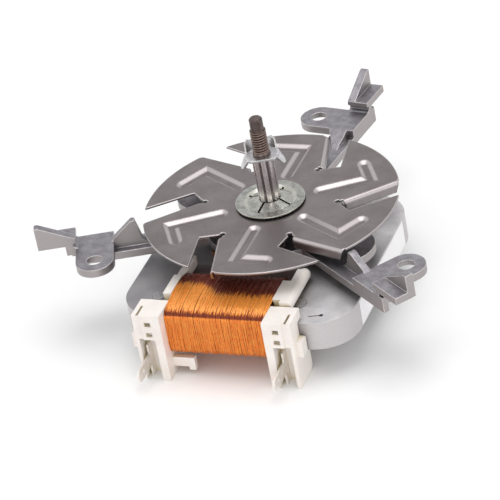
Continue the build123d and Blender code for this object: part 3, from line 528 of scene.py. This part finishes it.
@dataclass(frozen=True)
class TurnedFinish(Finish):
    """Metal round the shaft's axis with a painted highlight on its crests and painted shade in its grooves.
    """

    foot: float = 25.6 * MM  # height above which the tints hold
    groove_r: float = 2.5 * MM
    crest_r: float = 2.93 * MM
    slack: float = 0.03 * MM  # how far below the grooves' floor they start
    groove_shade_colour: Colour = (0.030, 0.018, 0.015)
    crest_highlight_colour: Colour = (0.21, 0.152, 0.132)

    def _tint(self, tree: ShaderTree, place: Socket, colour: Socket) -> Socket:
        """Paint a highlight on the crests and shade in the grooves of what lies above the foot, by the
        distance from the shaft's axis.

        Args:
            tree: the material's tree.
            place: the place on the piece.
            colour: the metal's own colour.

        Returns:
            The tinted colour's socket.
        """
        x, y, z = tree.split(place)
        away = tree.math("SQRT", tree.total(tree.product(x, x), tree.product(y, y)))
        crest = tree.ramp(away, self.groove_r, self.crest_r)
        above = tree.math("GREATER_THAN", z, self.foot)
        outside = tree.math("GREATER_THAN", away, self.groove_r - self.slack)
        painted_ribs = tree.mix(crest, self.groove_shade_colour, self.crest_highlight_colour)
        return tree.mix(tree.product(above, outside), colour, painted_ribs)


@dataclass(frozen=True)
class StackFinish(Finish):
    """Sheet steel with painted shade over its top towards -X, under the disc, and a pressed mark whose recess
    is painted near-black as shade.
    """

    top: float = -10.7 * MM  # parts the top face from what is pressed into it
    painted_shade_from: float = 2.0 * MM  # X at which the painted shade on the top starts
    painted_shade_to: float = -34.0 * MM  # X at which the painted shade is full
    painted_shade_colour: Colour = (0.27, 0.26, 0.275)
    mark_centre: Point = (30.7 * MM, -49.0 * MM, -11.0 * MM)
    mark_reach: float = 3.3 * MM
    mark_shade_colour: Colour = (0.012, 0.010, 0.012)

    def _tint(self, tree: ShaderTree, place: Socket, colour: Socket) -> Socket:
        """Paint shade on the top face towards -X, and paint the pressed mark's recess near-black as shade.

        Args:
            tree: the material's tree.
            place: the place on the stack.
            colour: the steel's own colour.

        Returns:
            The tinted colour's socket.
        """
        x, _, z = tree.split(place)
        on_top = tree.math("GREATER_THAN", z, self.top)
        # painted shade on the top, towards -X
        painted_shade = tree.product(tree.ramp(x, self.painted_shade_from, self.painted_shade_to), on_top)
        colour = tree.mix(painted_shade, colour, self.painted_shade_colour)
        # painted shade: the pressed mark's recess painted near-black
        apart = tree.add("ShaderNodeVectorMath", {0: place, 1: self.mark_centre}, operation="DISTANCE")
        near = tree.math("LESS_THAN", apart.outputs["Value"], self.mark_reach)
        sunk = tree.math("LESS_THAN", z, self.top)
        return tree.mix(tree.product(near, sunk), colour, self.mark_shade_colour)


class Palette:
    """Every finish of the motor, made once."""

    FINISHES = (
        # disc: its slope colour is a painted highlight on the groove walls, its edge colour a painted
        # highlight on the bends
        Finish("disc_steel", (0.165, 0.146, 0.146), (0.230, 0.205, 0.205), roughness=(0.32, 0.44),
               patch=9 * MM, grain=0.7 * MM, relief=0.002 * MM, edge_colour=(0.95, 0.90, 0.90),
               edge_radius=0.22 * MM, edge_breakup=0.2, round_radius=1.0 * MM, upright_share=0.3,
               slope_shading_colour=(0.46, 0.42, 0.425), slope=(0.06, 0.15), scratch_relief=0.001 * MM),
        # casting: painted light on upright faces, a painted highlight along the edges and painted shade in
        # its hollows
        Finish("casting", (0.15, 0.142, 0.155), (0.35, 0.335, 0.36), roughness=(0.34, 0.52), patch=3.2 * MM,
               grain=0.35 * MM, grain_share=0.6, relief=0.02 * MM, edge_colour=(0.86, 0.83, 0.83),
               edge_radius=0.5 * MM, edge_breakup=0.35, slope_shading_colour=(0.37, 0.34, 0.34), slope=(0.08, 0.6),
               hollow_shade_colour=(0.11, 0.10, 0.10), hollow_shade_reach=4.5 * MM),
        # stack: painted shade on its sides and painted shade under the disc by its hollow colour
        StackFinish("stack_steel", (0.66, 0.645, 0.66), (0.82, 0.80, 0.82), metallic=0.6,
                    roughness=(0.42, 0.6), patch=7 * MM, grain=0.6 * MM, relief=0.004 * MM,
                    band_pitch=0.5 * MM, band_dark=0.6, slope_shading_colour=(0.60, 0.57, 0.575), slope=(0.5, 0.95),
                    hollow_shade_colour=(0.13, 0.115, 0.11), hollow_shade_reach=14.0 * MM, hollow_shade_span=(0.85, 0.25)),
        # clip: painted light on its slopes and a painted highlight on its edges
        Finish("clip_zinc", (0.17, 0.17, 0.16), (0.50, 0.50, 0.475), roughness=(0.16, 0.34), patch=2.2 * MM,
               grain=0.35 * MM, grain_share=0.55, relief=0.012 * MM, edge_colour=(0.85, 0.85, 0.78),
               edge_radius=0.2 * MM, slope_shading_colour=(0.72, 0.71, 0.62), slope=(0.02, 0.22)),
        # sleeve: painted highlights on the flutes' crests and painted shade in the flutes
        TurnedFinish("sleeve_aluminium", (0.52, 0.48, 0.475), (0.60, 0.56, 0.555), roughness=(0.22, 0.3),
                     patch=6 * MM, grain=1.2 * MM, relief=0.0, foot=0.0, groove_r=3.45 * MM,
                     crest_r=3.9 * MM, groove_shade_colour=(0.17, 0.15, 0.15), crest_highlight_colour=(0.66, 0.615, 0.61)),
        # petal washer: a painted highlight on its edges
        Finish("petal_zinc", (0.42, 0.41, 0.42), (0.74, 0.73, 0.745), roughness=(0.25, 0.4), patch=2 * MM,
               grain=0.3 * MM, relief=0.008 * MM, edge_colour=(0.95, 0.95, 0.95), edge_radius=0.22 * MM,
               edge_breakup=0.2),
        # shaft: a painted highlight on the tip's rim, painted highlights on the thread's crests and painted
        # shade in its grooves
        TurnedFinish("shaft_steel", (0.075, 0.056, 0.052), (0.14, 0.108, 0.10), metallic=0.9,
                     roughness=(0.22, 0.34), patch=4 * MM, grain=0.6 * MM, relief=0.002 * MM,
                     edge_colour=(0.55, 0.48, 0.46), edge_radius=0.16 * MM, edge_breakup=0.3),
        Finish("bush_bronze", (0.24, 0.15, 0.07), (0.4, 0.26, 0.13), roughness=(0.4, 0.55), patch=1.5 * MM),
        Finish("oil_felt", (0.20, 0.17, 0.11), (0.34, 0.30, 0.21), metallic=0.0, roughness=(0.85, 0.95),
               patch=1 * MM, grain=0.2 * MM, relief=0.08 * MM),
        Finish("spring_steel", (0.10, 0.10, 0.105), (0.2, 0.2, 0.21), roughness=(0.3, 0.45)),
        Finish("rivet_steel", (0.36, 0.35, 0.36), (0.50, 0.49, 0.50), roughness=(0.3, 0.45), patch=1 * MM,
               edge_colour=(0.06, 0.055, 0.055), edge_radius=0.35 * MM, edge_breakup=0.2),
        Finish("ring_copper", (0.42, 0.17, 0.08), (0.62, 0.30, 0.17), roughness=(0.3, 0.5), patch=2 * MM),
        Finish("cage_aluminium", (0.45, 0.45, 0.46), (0.62, 0.62, 0.63), roughness=(0.4, 0.55),
               patch=2 * MM),
        Finish("rotor_iron", (0.16, 0.16, 0.165), (0.26, 0.26, 0.265), roughness=(0.35, 0.5),
               band_pitch=0.5 * MM),
        Finish("thrust_fibre", (0.22, 0.13, 0.06), (0.34, 0.21, 0.10), metallic=0.0, roughness=(0.6, 0.75)),
        # bobbin: cream painted shade in its pockets
        Finish("bobbin_plastic", (0.79, 0.73, 0.68), (0.89, 0.84, 0.80), metallic=0.0,
               roughness=(0.42, 0.55), patch=8 * MM, grain=0.5 * MM, relief=0.006 * MM,
               edge_radius=0.3 * MM, edge_colour=(0.95, 0.93, 0.91), edge_breakup=0.1, subsurface=0.12,
               hollow_shade_colour=(0.72, 0.63, 0.42), hollow_shade_reach=4.0 * MM),
        Finish("tab_tin", (0.78, 0.73, 0.68), (0.90, 0.86, 0.81), metallic=0.6, roughness=(0.28, 0.42),
               patch=2 * MM, relief=0.004 * MM, edge_colour=(0.9, 0.88, 0.86), edge_radius=0.1 * MM),
        Finish("screw_zinc", (0.34, 0.35, 0.34), (0.55, 0.56, 0.55), roughness=(0.3, 0.45), patch=1.5 * MM),
        Finish("label_film", (0.80, 0.79, 0.80), (0.86, 0.85, 0.86), metallic=0.0, roughness=(0.4, 0.5),
               patch=12 * MM, relief=0.002 * MM, edge_colour=(0.6, 0.6, 0.6), edge_radius=0.05 * MM),
        WireFinish("enamelled_wire", (0.84, 0.18, 0.018), (1.0, 0.38, 0.055), metallic=0.35,
                   roughness=(0.2, 0.32), patch=1.6 * MM, grain=0.25 * MM, grain_share=0.5, relief=0.0,
                   coat=0.12),
        # dark solid under the wire: painted shade between the turns
        Finish("winding_core_shade", (0.05, 0.010, 0.004), (0.12, 0.025, 0.006), metallic=0.2,
               roughness=(0.5, 0.6)),
    )

    def __init__(self) -> None:
        """Build the shared groups and every material."""
        groups = NodeGroups()
        self._materials = {finish.name: finish.build(groups) for finish in self.FINISHES}

    def material(self, finish: str) -> bpy.types.Material:
        """Give a finish's material."""
        return self._materials[finish]

    def dress(self, piece: bpy.types.Object, finish: str) -> None:
        """Give a piece one finish all over."""
        piece.data.materials.clear()
        piece.data.materials.append(self.material(finish))


@dataclass
class PackedParts:
    """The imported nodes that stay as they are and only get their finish."""

    finishes: dict[str, str] = field(default_factory=lambda: {
        "rotor_core": "rotor_iron",
        "rotor_bars": "cage_aluminium",
        "front_end_ring": "cage_aluminium",
        "rear_end_ring": "cage_aluminium",
        "front_thrust_washer": "thrust_fibre",
        "rear_thrust_washer": "thrust_fibre",
        "cooling_disc": "disc_steel",
        "push_washer": "clip_zinc",
        "fluted_sleeve": "sleeve_aluminium",
        "petal_washer": "petal_zinc",
        "mounting_bracket": "casting",
        "front_bearing": "bush_bronze",
        "front_felt": "oil_felt",
        "front_retainer": "spring_steel",
        "rear_bracket": "casting",
        "rear_bearing": "bush_bronze",
        "rear_felt": "oil_felt",
        "rear_retainer": "spring_steel",
        "stator_stack": "stack_steel",
        "coil_core": "stack_steel",
        "stack_rivets": "rivet_steel",
        "shading_rings": "ring_copper",
        "bobbin": "bobbin_plastic",
        "left_terminal": "tab_tin",
        "right_terminal": "tab_tin",
        "bracket_screws": "screw_zinc",
        "label": "label_film",
    })

    def dress(self, nodes: dict[str, bpy.types.Object], palette: Palette) -> None:
        """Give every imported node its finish.

        Args:
            nodes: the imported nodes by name.
            palette: the finishes.
        """
        for name, finish in self.finishes.items():
            palette.dress(nodes[name], finish)
            LOG.info("%s: %s", name, finish)


class GeometryTree(Tree):
    """A Geometry Nodes tree with named inputs that is run once for its mesh."""

    def __init__(self, name: str, values: dict[str, float | int]) -> None:
        """Start the tree.

        Args:
            name: the tree's name.
            values: for each named input, its value.
        """
        super().__init__(bpy.data.node_groups.new(name, "GeometryNodeTree"))
        for label, value in values.items():
            kind = "NodeSocketInt" if isinstance(value, int) else FLOAT
            socket = self.tree.interface.new_socket(label, in_out="INPUT", socket_type=kind)
            socket.default_value = value
        self.tree.interface.new_socket("Geometry", in_out="OUTPUT", socket_type="NodeSocketGeometry")
        self.inputs = self.tree.nodes.new("NodeGroupInput").outputs
        self.values = values

    def position(self) -> Socket:
        """Give the place of each point."""
        return self.add("GeometryNodeInputPosition").outputs[0]

    def moved(self, geometry: Socket, offset: Socket) -> Socket:
        """Move each point by its offset."""
        return self.add("GeometryNodeSetPosition", {"Geometry": geometry, "Offset": offset}).outputs[0]

    def random_vector(self, low: Point, high: Point, seed: int) -> Socket:
        """Give a random vector for each element.

        Args:
            low: the smallest numbers.
            high: the largest numbers.
            seed: the fixed seed.

        Returns:
            The vector's socket.
        """
        node = self.add("FunctionNodeRandomValue", {"Seed": seed}, data_type="FLOAT_VECTOR")
        vectors = (socket for socket in node.inputs if socket.type == "VECTOR")
        for socket, value in zip(vectors, (low, high)):
            socket.default_value = value
        return next(socket for socket in node.outputs if socket.type == "VECTOR")

    def bake(self, geometry: Socket, material: bpy.types.Material, name: str) -> bpy.types.Object:
        """Finish the tree, run it once and keep its result as a plain mesh.

        Args:
            geometry: the geometry to keep.
            material: the material that it gets.
            name: the new object's name.

        Returns:
            The object with the plain mesh.
        """
        real = self.add("GeometryNodeRealizeInstances", {"Geometry": geometry})
        dressed = self.add("GeometryNodeSetMaterial", {"Geometry": real.outputs[0], "Material": material})
        self.add("NodeGroupOutput", {0: dressed.outputs[0]})
        maker = link_object(name + ".maker", bpy.data.meshes.new(name + ".start"))
        modifier = maker.modifiers.new("nodes", "NODES")
        modifier.node_group = self.tree
        for item in self.tree.interface.items_tree:
            if item.in_out == "INPUT":
                modifier[item.identifier] = self.values[item.name]
        graph = bpy.context.evaluated_depsgraph_get()
        mesh = bpy.data.meshes.new_from_object(maker.evaluated_get(graph))
        mesh.name = name
        bpy.data.objects.remove(maker)
        return link_object(name, mesh)


@dataclass(frozen=True)
class Layer:
    """One layer of loops in the winding."""

    label: str  # name of the tree's input for the turns
    turns: int
    lift: float  # how far the loops lie outside the outline, in wire radii
    tilt: float  # largest slant of a loop, in radians
    seed: int


@dataclass(frozen=True)
class Winding:
    """The coil's enamelled wire: loops side by side round a solid inside, some of them across the others."""

    left: float = -23.0 * MM
    right: float = 15.5 * MM
    centre_y: float = -44.0 * MM
    centre_z: float = -15.9 * MM
    half_y: float = 13.5 * MM  # half the depth of the winding's outline
    half_z: float = 9.0 * MM  # half its height
    tube_half_y: float = 11.2 * MM
    tube_half_z: float = 6.7 * MM
    corner: float = 2.6 * MM
    tube_corner: float = 0.325 * MM
    wire: float = 0.17 * MM  # radius
    fill_depth: float = 3.0  # of the solid below the outline, in wire radii
    wander: float = 0.5 * MM  # how far the turns stray sideways
    wander_scale: float = 90.0
    wander_detail: float = 1.0
    crown: float = 1.9 * MM  # how far the top bulges
    crown_back: float = 0.35  # how far that bulge leans to the back
    swell: float = 0.9 * MM  # how far the back bulges
    layers: tuple[Layer, ...] = (
        Layer("Turns", 118, -1.0, 0.006, 3),
        Layer("Stray Turns", 34, 0.0, 0.045, 8),
    )
    corner_points: int = 5
    loop_points: int = 44
    wire_sides: int = 5

    def _bulged(self, nodes: GeometryTree, curve: Socket) -> Socket:
        """Bulge a loop's top and back, as wire does that is wound on a square tube.

        Args:
            nodes: the tree.
            curve: the loop, upright round its own centre.

        Returns:
            The bulged loop.
        """
        _, y, z = nodes.split(nodes.position())
        away = nodes.math("DIVIDE", y, self.half_y)
        level = nodes.math("DIVIDE", z, self.half_z)
        lean = nodes.total(1.0, nodes.product(away, self.crown_back))
        arch = nodes.product(lean, nodes.difference(1.0, nodes.product(away, away)))
        bow = nodes.difference(1.0, nodes.product(level, level))
        up = nodes.product(arch, nodes.math("MAXIMUM", level, 0.0), nodes.inputs["Crown"])
        back = nodes.product(bow, nodes.math("MAXIMUM", away, 0.0), nodes.inputs["Swell"])
        return nodes.moved(curve, nodes.vector(y=back, z=up))

    def _lay(self, nodes: GeometryTree, layer: Layer) -> Socket:
        """Lay one layer of loops.

        Args:
            nodes: the tree.
            layer: the layer.

        Returns:
            The layer's loops, as curves.
        """
        wire = nodes.inputs["Wire Radius"]
        turns = nodes.inputs[layer.label]
        length = nodes.difference(self.right - self.left, nodes.product(wire, 2.0))
        step = nodes.math("DIVIDE", length, nodes.difference(turns, 1.0))
        line = nodes.add("GeometryNodeMeshLine", {
            "Count": turns,
            "Start Location": (self.left + self.wire, self.centre_y, self.centre_z),
            "Offset": nodes.vector(x=step),
        })
        width, height = (nodes.product(nodes.difference(half + layer.lift * self.wire, wire), 2.0)
                         for half in (self.half_y, self.half_z))
        outline = nodes.add("GeometryNodeCurvePrimitiveQuadrilateral", {"Width": width, "Height": height})
        rounded = nodes.add("GeometryNodeFilletCurve", {
            "Curve": outline.outputs[0],
            "Radius": nodes.inputs["Corner Radius"],
            "Count": self.corner_points,
        }, mode="POLY")
        upright = nodes.add("GeometryNodeTransform", {
            "Geometry": rounded.outputs[0], "Rotation": (math.pi / 2, 0.0, math.pi / 2)})
        fine = nodes.add("GeometryNodeResampleCurve", {
            "Curve": upright.outputs[0], "Count": self.loop_points})
        tilt = layer.tilt
        loops = nodes.add("GeometryNodeInstanceOnPoints", {
            "Points": line.outputs[0],
            "Instance": self._bulged(nodes, fine.outputs[0]),
            "Rotation": nodes.random_vector((0.0, -tilt, -tilt), (0.0, tilt, tilt), layer.seed),
        })
        single = nodes.add("GeometryNodeRealizeInstances", {"Geometry": loops.outputs[0]})
        noise = nodes.noise(nodes.position(), self.wander_scale + layer.seed, self.wander_detail)
        drift = nodes.product(nodes.difference(noise, 0.5), nodes.inputs["Wander"])
        return nodes.moved(single.outputs[0], nodes.vector(x=drift))

    def make(self, palette: Palette) -> bpy.types.Object:
        """Wind the coil and dress it.

        Args:
            palette: the finishes.

        Returns:
            The coil, one mesh.
        """
        nodes = GeometryTree("winding", {
            **{layer.label: layer.turns for layer in self.layers},
            "Wire Radius": self.wire,
            "Corner Radius": self.corner,
            "Wander": self.wander,
            "Crown": self.crown,
            "Swell": self.swell,
        })
        layers = nodes.add("GeometryNodeJoinGeometry")
        for layer in self.layers:
            nodes.feed(layers.inputs[0], self._lay(nodes, layer))
        section = nodes.add("GeometryNodeCurvePrimitiveCircle", {
            "Resolution": self.wire_sides, "Radius": nodes.inputs["Wire Radius"]})
        mesh = nodes.add("GeometryNodeCurveToMesh", {
            "Curve": layers.outputs[0], "Profile Curve": section.outputs[0]})
        held = nodes.add("GeometryNodeSetPosition", {
            "Geometry": mesh.outputs[0], "Position": self._held(nodes)})
        smooth = nodes.add("GeometryNodeSetShadeSmooth", {"Geometry": held.outputs[0]})
        coil = nodes.bake(smooth.outputs[0], palette.material("enamelled_wire"), "coil_winding")
        coil.data.materials.append(palette.material("winding_core_shade"))
        self._fill(coil.data)
        return coil

    def _held(self, nodes: GeometryTree) -> Socket:
        """Keep every point between the flanges."""
        x, y, z = nodes.split(nodes.position())
        return nodes.vector(nodes.math("MINIMUM", nodes.math("MAXIMUM", x, self.left), self.right), y, z)

    def _ring(self, work: bmesh.types.BMesh, x: float, half_y: float, half_z: float,
              cut: float) -> list[bmesh.types.BMVert]:
        """Lay eight points round the winding.

        Args:
            work: the mesh that gets them.
            x: their X.
            half_y: half the depth.
            half_z: half the height.
            cut: how much the corners are cut off.

        Returns:
            The points in their order.
        """
        outline = (
            (-half_y, -half_z + cut), (-half_y, half_z - cut), (-half_y + cut, half_z),
            (half_y - cut, half_z), (half_y, half_z - cut), (half_y, -half_z + cut),
            (half_y - cut, -half_z), (-half_y + cut, -half_z))
        return [work.verts.new((x, self.centre_y + y, self.centre_z + z)) for y, z in outline]

    def _fill(self, mesh: bpy.types.Mesh) -> None:
        """Add the solid under the wire, a square tube between the flanges, in a dark finish that is painted
        shade between the turns.

        Args:
            mesh: the wire's mesh, which gets the solid.
        """
        work = bmesh.new()
        work.from_mesh(mesh)
        inset = self.fill_depth * self.wire
        outer = (self.half_y - inset, self.half_z - inset, self.corner)
        inner = (self.tube_half_y, self.tube_half_z, self.tube_corner)
        outer_left, inner_left, outer_right, inner_right = (
            self._ring(work, x, *section) for x in (self.left, self.right) for section in (outer, inner))
        for first, second in ((outer_left, outer_right), (inner_right, inner_left),
                              (inner_left, outer_left), (outer_right, inner_right)):
            for i in range(len(first)):
                j = (i + 1) % len(first)
                face = work.faces.new((first[i], first[j], second[j], second[i]))
                # the dark core finish, painted shade seen between the turns
                face.material_index = 1
        work.to_mesh(mesh)
        work.free()


@dataclass(frozen=True)
class ThreadedShaft:
    """The turned shaft with a real thread on its upper end, as heights with their radii, in millimetres."""

    profile: tuple[Span, ...] = (
        (-30.4, 0.0), (-30.4, 2.7), (-29.9, 3.2), (-24.4, 3.2), (-24.4, 4.0), (-7.4, 4.0), (-7.4, 3.2),
        (-0.4, 3.2), (-0.4, 5.0), (3.4, 5.0), (3.4, 3.2), (25.2, 3.2), (25.5, 2.95))
    top: tuple[Span, ...] = ((34.6, 2.55), (34.6, 2.45), (39.0, 2.45), (39.5, 1.95), (39.5, 0.0))
    thread_from: float = 25.5
    thread_to: float = 34.6
    thread_r: float = 2.95
    depth: float = 0.5
    pitch: float = 1.0
    flank: float = 1.6  # how steeply the thread's flanks rise
    rows: int = 110
    sides: int = 48
    sharp: float = 35.0  # angle in degrees from which an edge is sharp
    weld: float = 0.001

    def _thread(self, height: float, turn: float) -> float:
        """Give the thread's radius.

        Args:
            height: the height.
            turn: the angle, as a share of a full turn.

        Returns:
            The radius.
        """
        phase = ((height - self.thread_from) / self.pitch - turn) % 1.0
        ridge = min(1.0, self.flank * abs(2.0 * phase - 1.0))
        ends = min(height - self.thread_from, self.thread_to - height)
        fade = min(1.0, max(0.0, ends / self.pitch))
        return self.thread_r - self.depth * (1.0 - ridge) * fade

    def _ring(self, work: bmesh.types.BMesh, height: float, radius: float | None) -> list[bmesh.types.BMVert]:
        """Lay a ring of points round the axis.

        Args:
            work: the mesh that gets the points.
            height: the ring's height.
            radius: its radius, or None for the thread's.

        Returns:
            The points in their order round the ring.
        """
        ring = []
        for i in range(self.sides):
            turn = i / self.sides
            r = (self._thread(height, turn) if radius is None else radius) * MM
            angle = 2.0 * math.pi * turn
            ring.append(work.verts.new((r * math.cos(angle), r * math.sin(angle), height * MM)))
        return ring

    def make(self, palette: Palette) -> bpy.types.Object:
        """Turn the shaft and dress it.

        Args:
            palette: the finishes.

        Returns:
            The shaft, one mesh round the Z axis.
        """
        run = (self.thread_to - self.thread_from) / self.rows
        thread = ((self.thread_from + run * (i + 1), None) for i in range(self.rows - 1))
        work = bmesh.new()
        rings = [self._ring(work, *place) for place in (*self.profile, *thread, *self.top)]
        for low, high in zip(rings, rings[1:]):
            for i in range(self.sides):
                j = (i + 1) % self.sides
                work.faces.new((low[i], low[j], high[j], high[i])).smooth = True
        bmesh.ops.remove_doubles(work, verts=work.verts, dist=self.weld * MM)
        shaft = link_work("threaded_shaft", work)
        shaft.data.set_sharp_from_angle(angle=math.radians(self.sharp))
        palette.dress(shaft, "shaft_steel")
        return shaft


@dataclass(frozen=True)
class FlangeRail:
    """The stepped strip that carries the bobbin's left flange on over the stack's window, in millimetres."""

    outline: tuple[Span, ...] = (
        (-23.1, -36.0), (-23.1, -21.5), (-24.3, -21.5), (-24.7, -24.0), (-24.7, -27.0), (-25.4, -28.0),
        (-25.9, -31.0), (-25.9, -36.0))
    bottom: float = -10.2
    top: float = -6.2
    edge_r: float = 0.3
    edge_steps: int = 2
    edge_profile: float = 0.5

    def make(self, palette: Palette) -> bpy.types.Object:
        """Mould the strip and dress it.

        Args:
            palette: the finishes.

        Returns:
            The strip, one closed mesh.
        """
        work = bmesh.new()
        foot = work.faces.new([work.verts.new((x * MM, y * MM, self.bottom * MM)) for x, y in self.outline])
        raised = bmesh.ops.extrude_face_region(work, geom=[foot])["geom"]
        lifted = [item for item in raised if isinstance(item, bmesh.types.BMVert)]
        bmesh.ops.translate(work, vec=(0.0, 0.0, (self.top - self.bottom) * MM), verts=lifted)
        bmesh.ops.bevel(work, geom=work.edges[:], offset=self.edge_r * MM, segments=self.edge_steps,
                        affect="EDGES", profile=self.edge_profile)
        rail = link_work("flange_rail", work)
        palette.dress(rail, "bobbin_plastic")
        return rail


@dataclass(frozen=True)
class Lamp:
    """A square soft lamp that points at the object."""

    name: str
    place: Point
    side: float
    power: float  # in watts

    def hang(self) -> None:
        """Hang the lamp."""
        light = bpy.data.lights.new(self.name, "AREA")
        light.shape = "SQUARE"
        light.size = self.side
        light.energy = self.power
        holder = link_object(self.name, light)
        holder.location = self.place
        holder.rotation_euler = (-Vector(self.place)).to_track_quat("-Z", "Y").to_euler()


@dataclass(frozen=True)
class Studio:
    """Pale floor, soft lamps and the camera."""

    camera_place: Point = (385.7 * MM, -848.8 * MM, 560.3 * MM)
    camera_target: Point = (0.2 * MM, -25.6 * MM, 0.0)
    camera_roll: float = -10.94  # in degrees
    camera_lens: float = 216.0  # in millimetres
    clip_start: float = 0.05
    floor_half: float = 3.0
    floor_colour: Colour = (0.92, 0.92, 0.92)
    floor_rough: float = 0.9
    floor_specular: float = 0.1
    world_colour: Colour = (1.0, 1.0, 1.0)
    world_light: float = 0.76  # its strength for diffuse light
    lamps: tuple[Lamp, ...] = (
        Lamp("front", (0.25, -1.3, 0.25), 0.7, 2.8),
        Lamp("right", (1.2, -0.3, 0.35), 0.6, 2.4),
        Lamp("left", (-1.2, -0.3, 0.45), 0.6, 1.4),
        Lamp("above", (0.05, 0.10, 1.2), 0.9, 6.0),
    )

    def make_floor(self, height: float) -> None:
        """Lay the floor under the object.

        Args:
            height: the object's lowest point.
        """
        mesh = bpy.data.meshes.new("floor")
        half = self.floor_half
        corners_xy = ((-half, -half), (half, -half), (half, half), (-half, half))
        mesh.from_pydata([(x, y, height) for x, y in corners_xy], [], [(0, 1, 2, 3)])
        floor = link_object("floor", mesh)
        material = bpy.data.materials.new("floor_paper")
        material.use_nodes = True
        Tree(material.node_tree).fill(material.node_tree.nodes["Principled BSDF"], {
            "Base Color": rgba(self.floor_colour),
            "Roughness": self.floor_rough,
            "Specular IOR Level": self.floor_specular,
        })
        mesh.materials.append(material)
        floor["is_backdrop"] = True

    def make_world(self) -> None:
        """Make a world that is white for the camera and for gloss, and dimmer for the rest."""
        world = bpy.data.worlds.new("studio")
        bpy.context.scene.world = world
        world.use_nodes = True
        tree = Tree(world.node_tree)
        path = tree.add("ShaderNodeLightPath").outputs
        gloss = tree.math("MAXIMUM", path["Is Glossy Ray"], path["Is Transmission Ray"])
        white = tree.math("MAXIMUM", path["Is Camera Ray"], gloss)
        level = tree.add("ShaderNodeMapRange", {"Value": white, "To Min": self.world_light, "To Max": 1.0})
        background = world.node_tree.nodes["Background"]
        tree.fill(background, {"Color": rgba(self.world_colour), "Strength": level.outputs["Result"]})

    def make_camera(self) -> None:
        """Place the camera at the photograph's angle, with its lean."""
        camera = link_object("camera", bpy.data.cameras.new("camera"))
        camera.data.lens = self.camera_lens
        camera.data.clip_start = self.clip_start
        look = Vector(self.camera_target) - Vector(self.camera_place)
        turn = look.to_track_quat("-Z", "Y").to_matrix().to_4x4()
        roll = Matrix.Rotation(math.radians(self.camera_roll), 4, "Z")
        camera.matrix_world = Matrix.Translation(self.camera_place) @ turn @ roll
        bpy.context.scene.camera = camera

    def build(self, height: float) -> None:
        """Set the studio up.

        Args:
            height: the object's lowest point.
        """
        self.make_floor(height)
        self.make_world()
        for lamp in self.lamps:
            lamp.hang()
        self.make_camera()


def main() -> None:
    """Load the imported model, dress it, add the scene's own pieces and set up the studio."""
    logging.basicConfig(level=logging.INFO, format="%(name)s: %(message)s")
    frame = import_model()
    packed_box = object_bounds()
    palette = Palette()
    PackedParts().dress(frame["nodes"], palette)
    coil = Winding().make(palette)
    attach(coil, Body.FRAME.value)
    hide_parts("coil")
    shaft = ThreadedShaft().make(palette)
    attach(shaft, Body.ROTOR.value)
    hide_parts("shaft")
    rail = FlangeRail().make(palette)
    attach(rail, Body.FRAME.value)
    for piece in (coil, shaft, rail):
        LOG.info("%s: %d faces", piece.name, len(piece.data.polygons))
    Studio().build(packed_box[0].z)
    bpy.context.scene.view_settings.view_transform = "Standard"


if __name__ == "__main__":
    main()
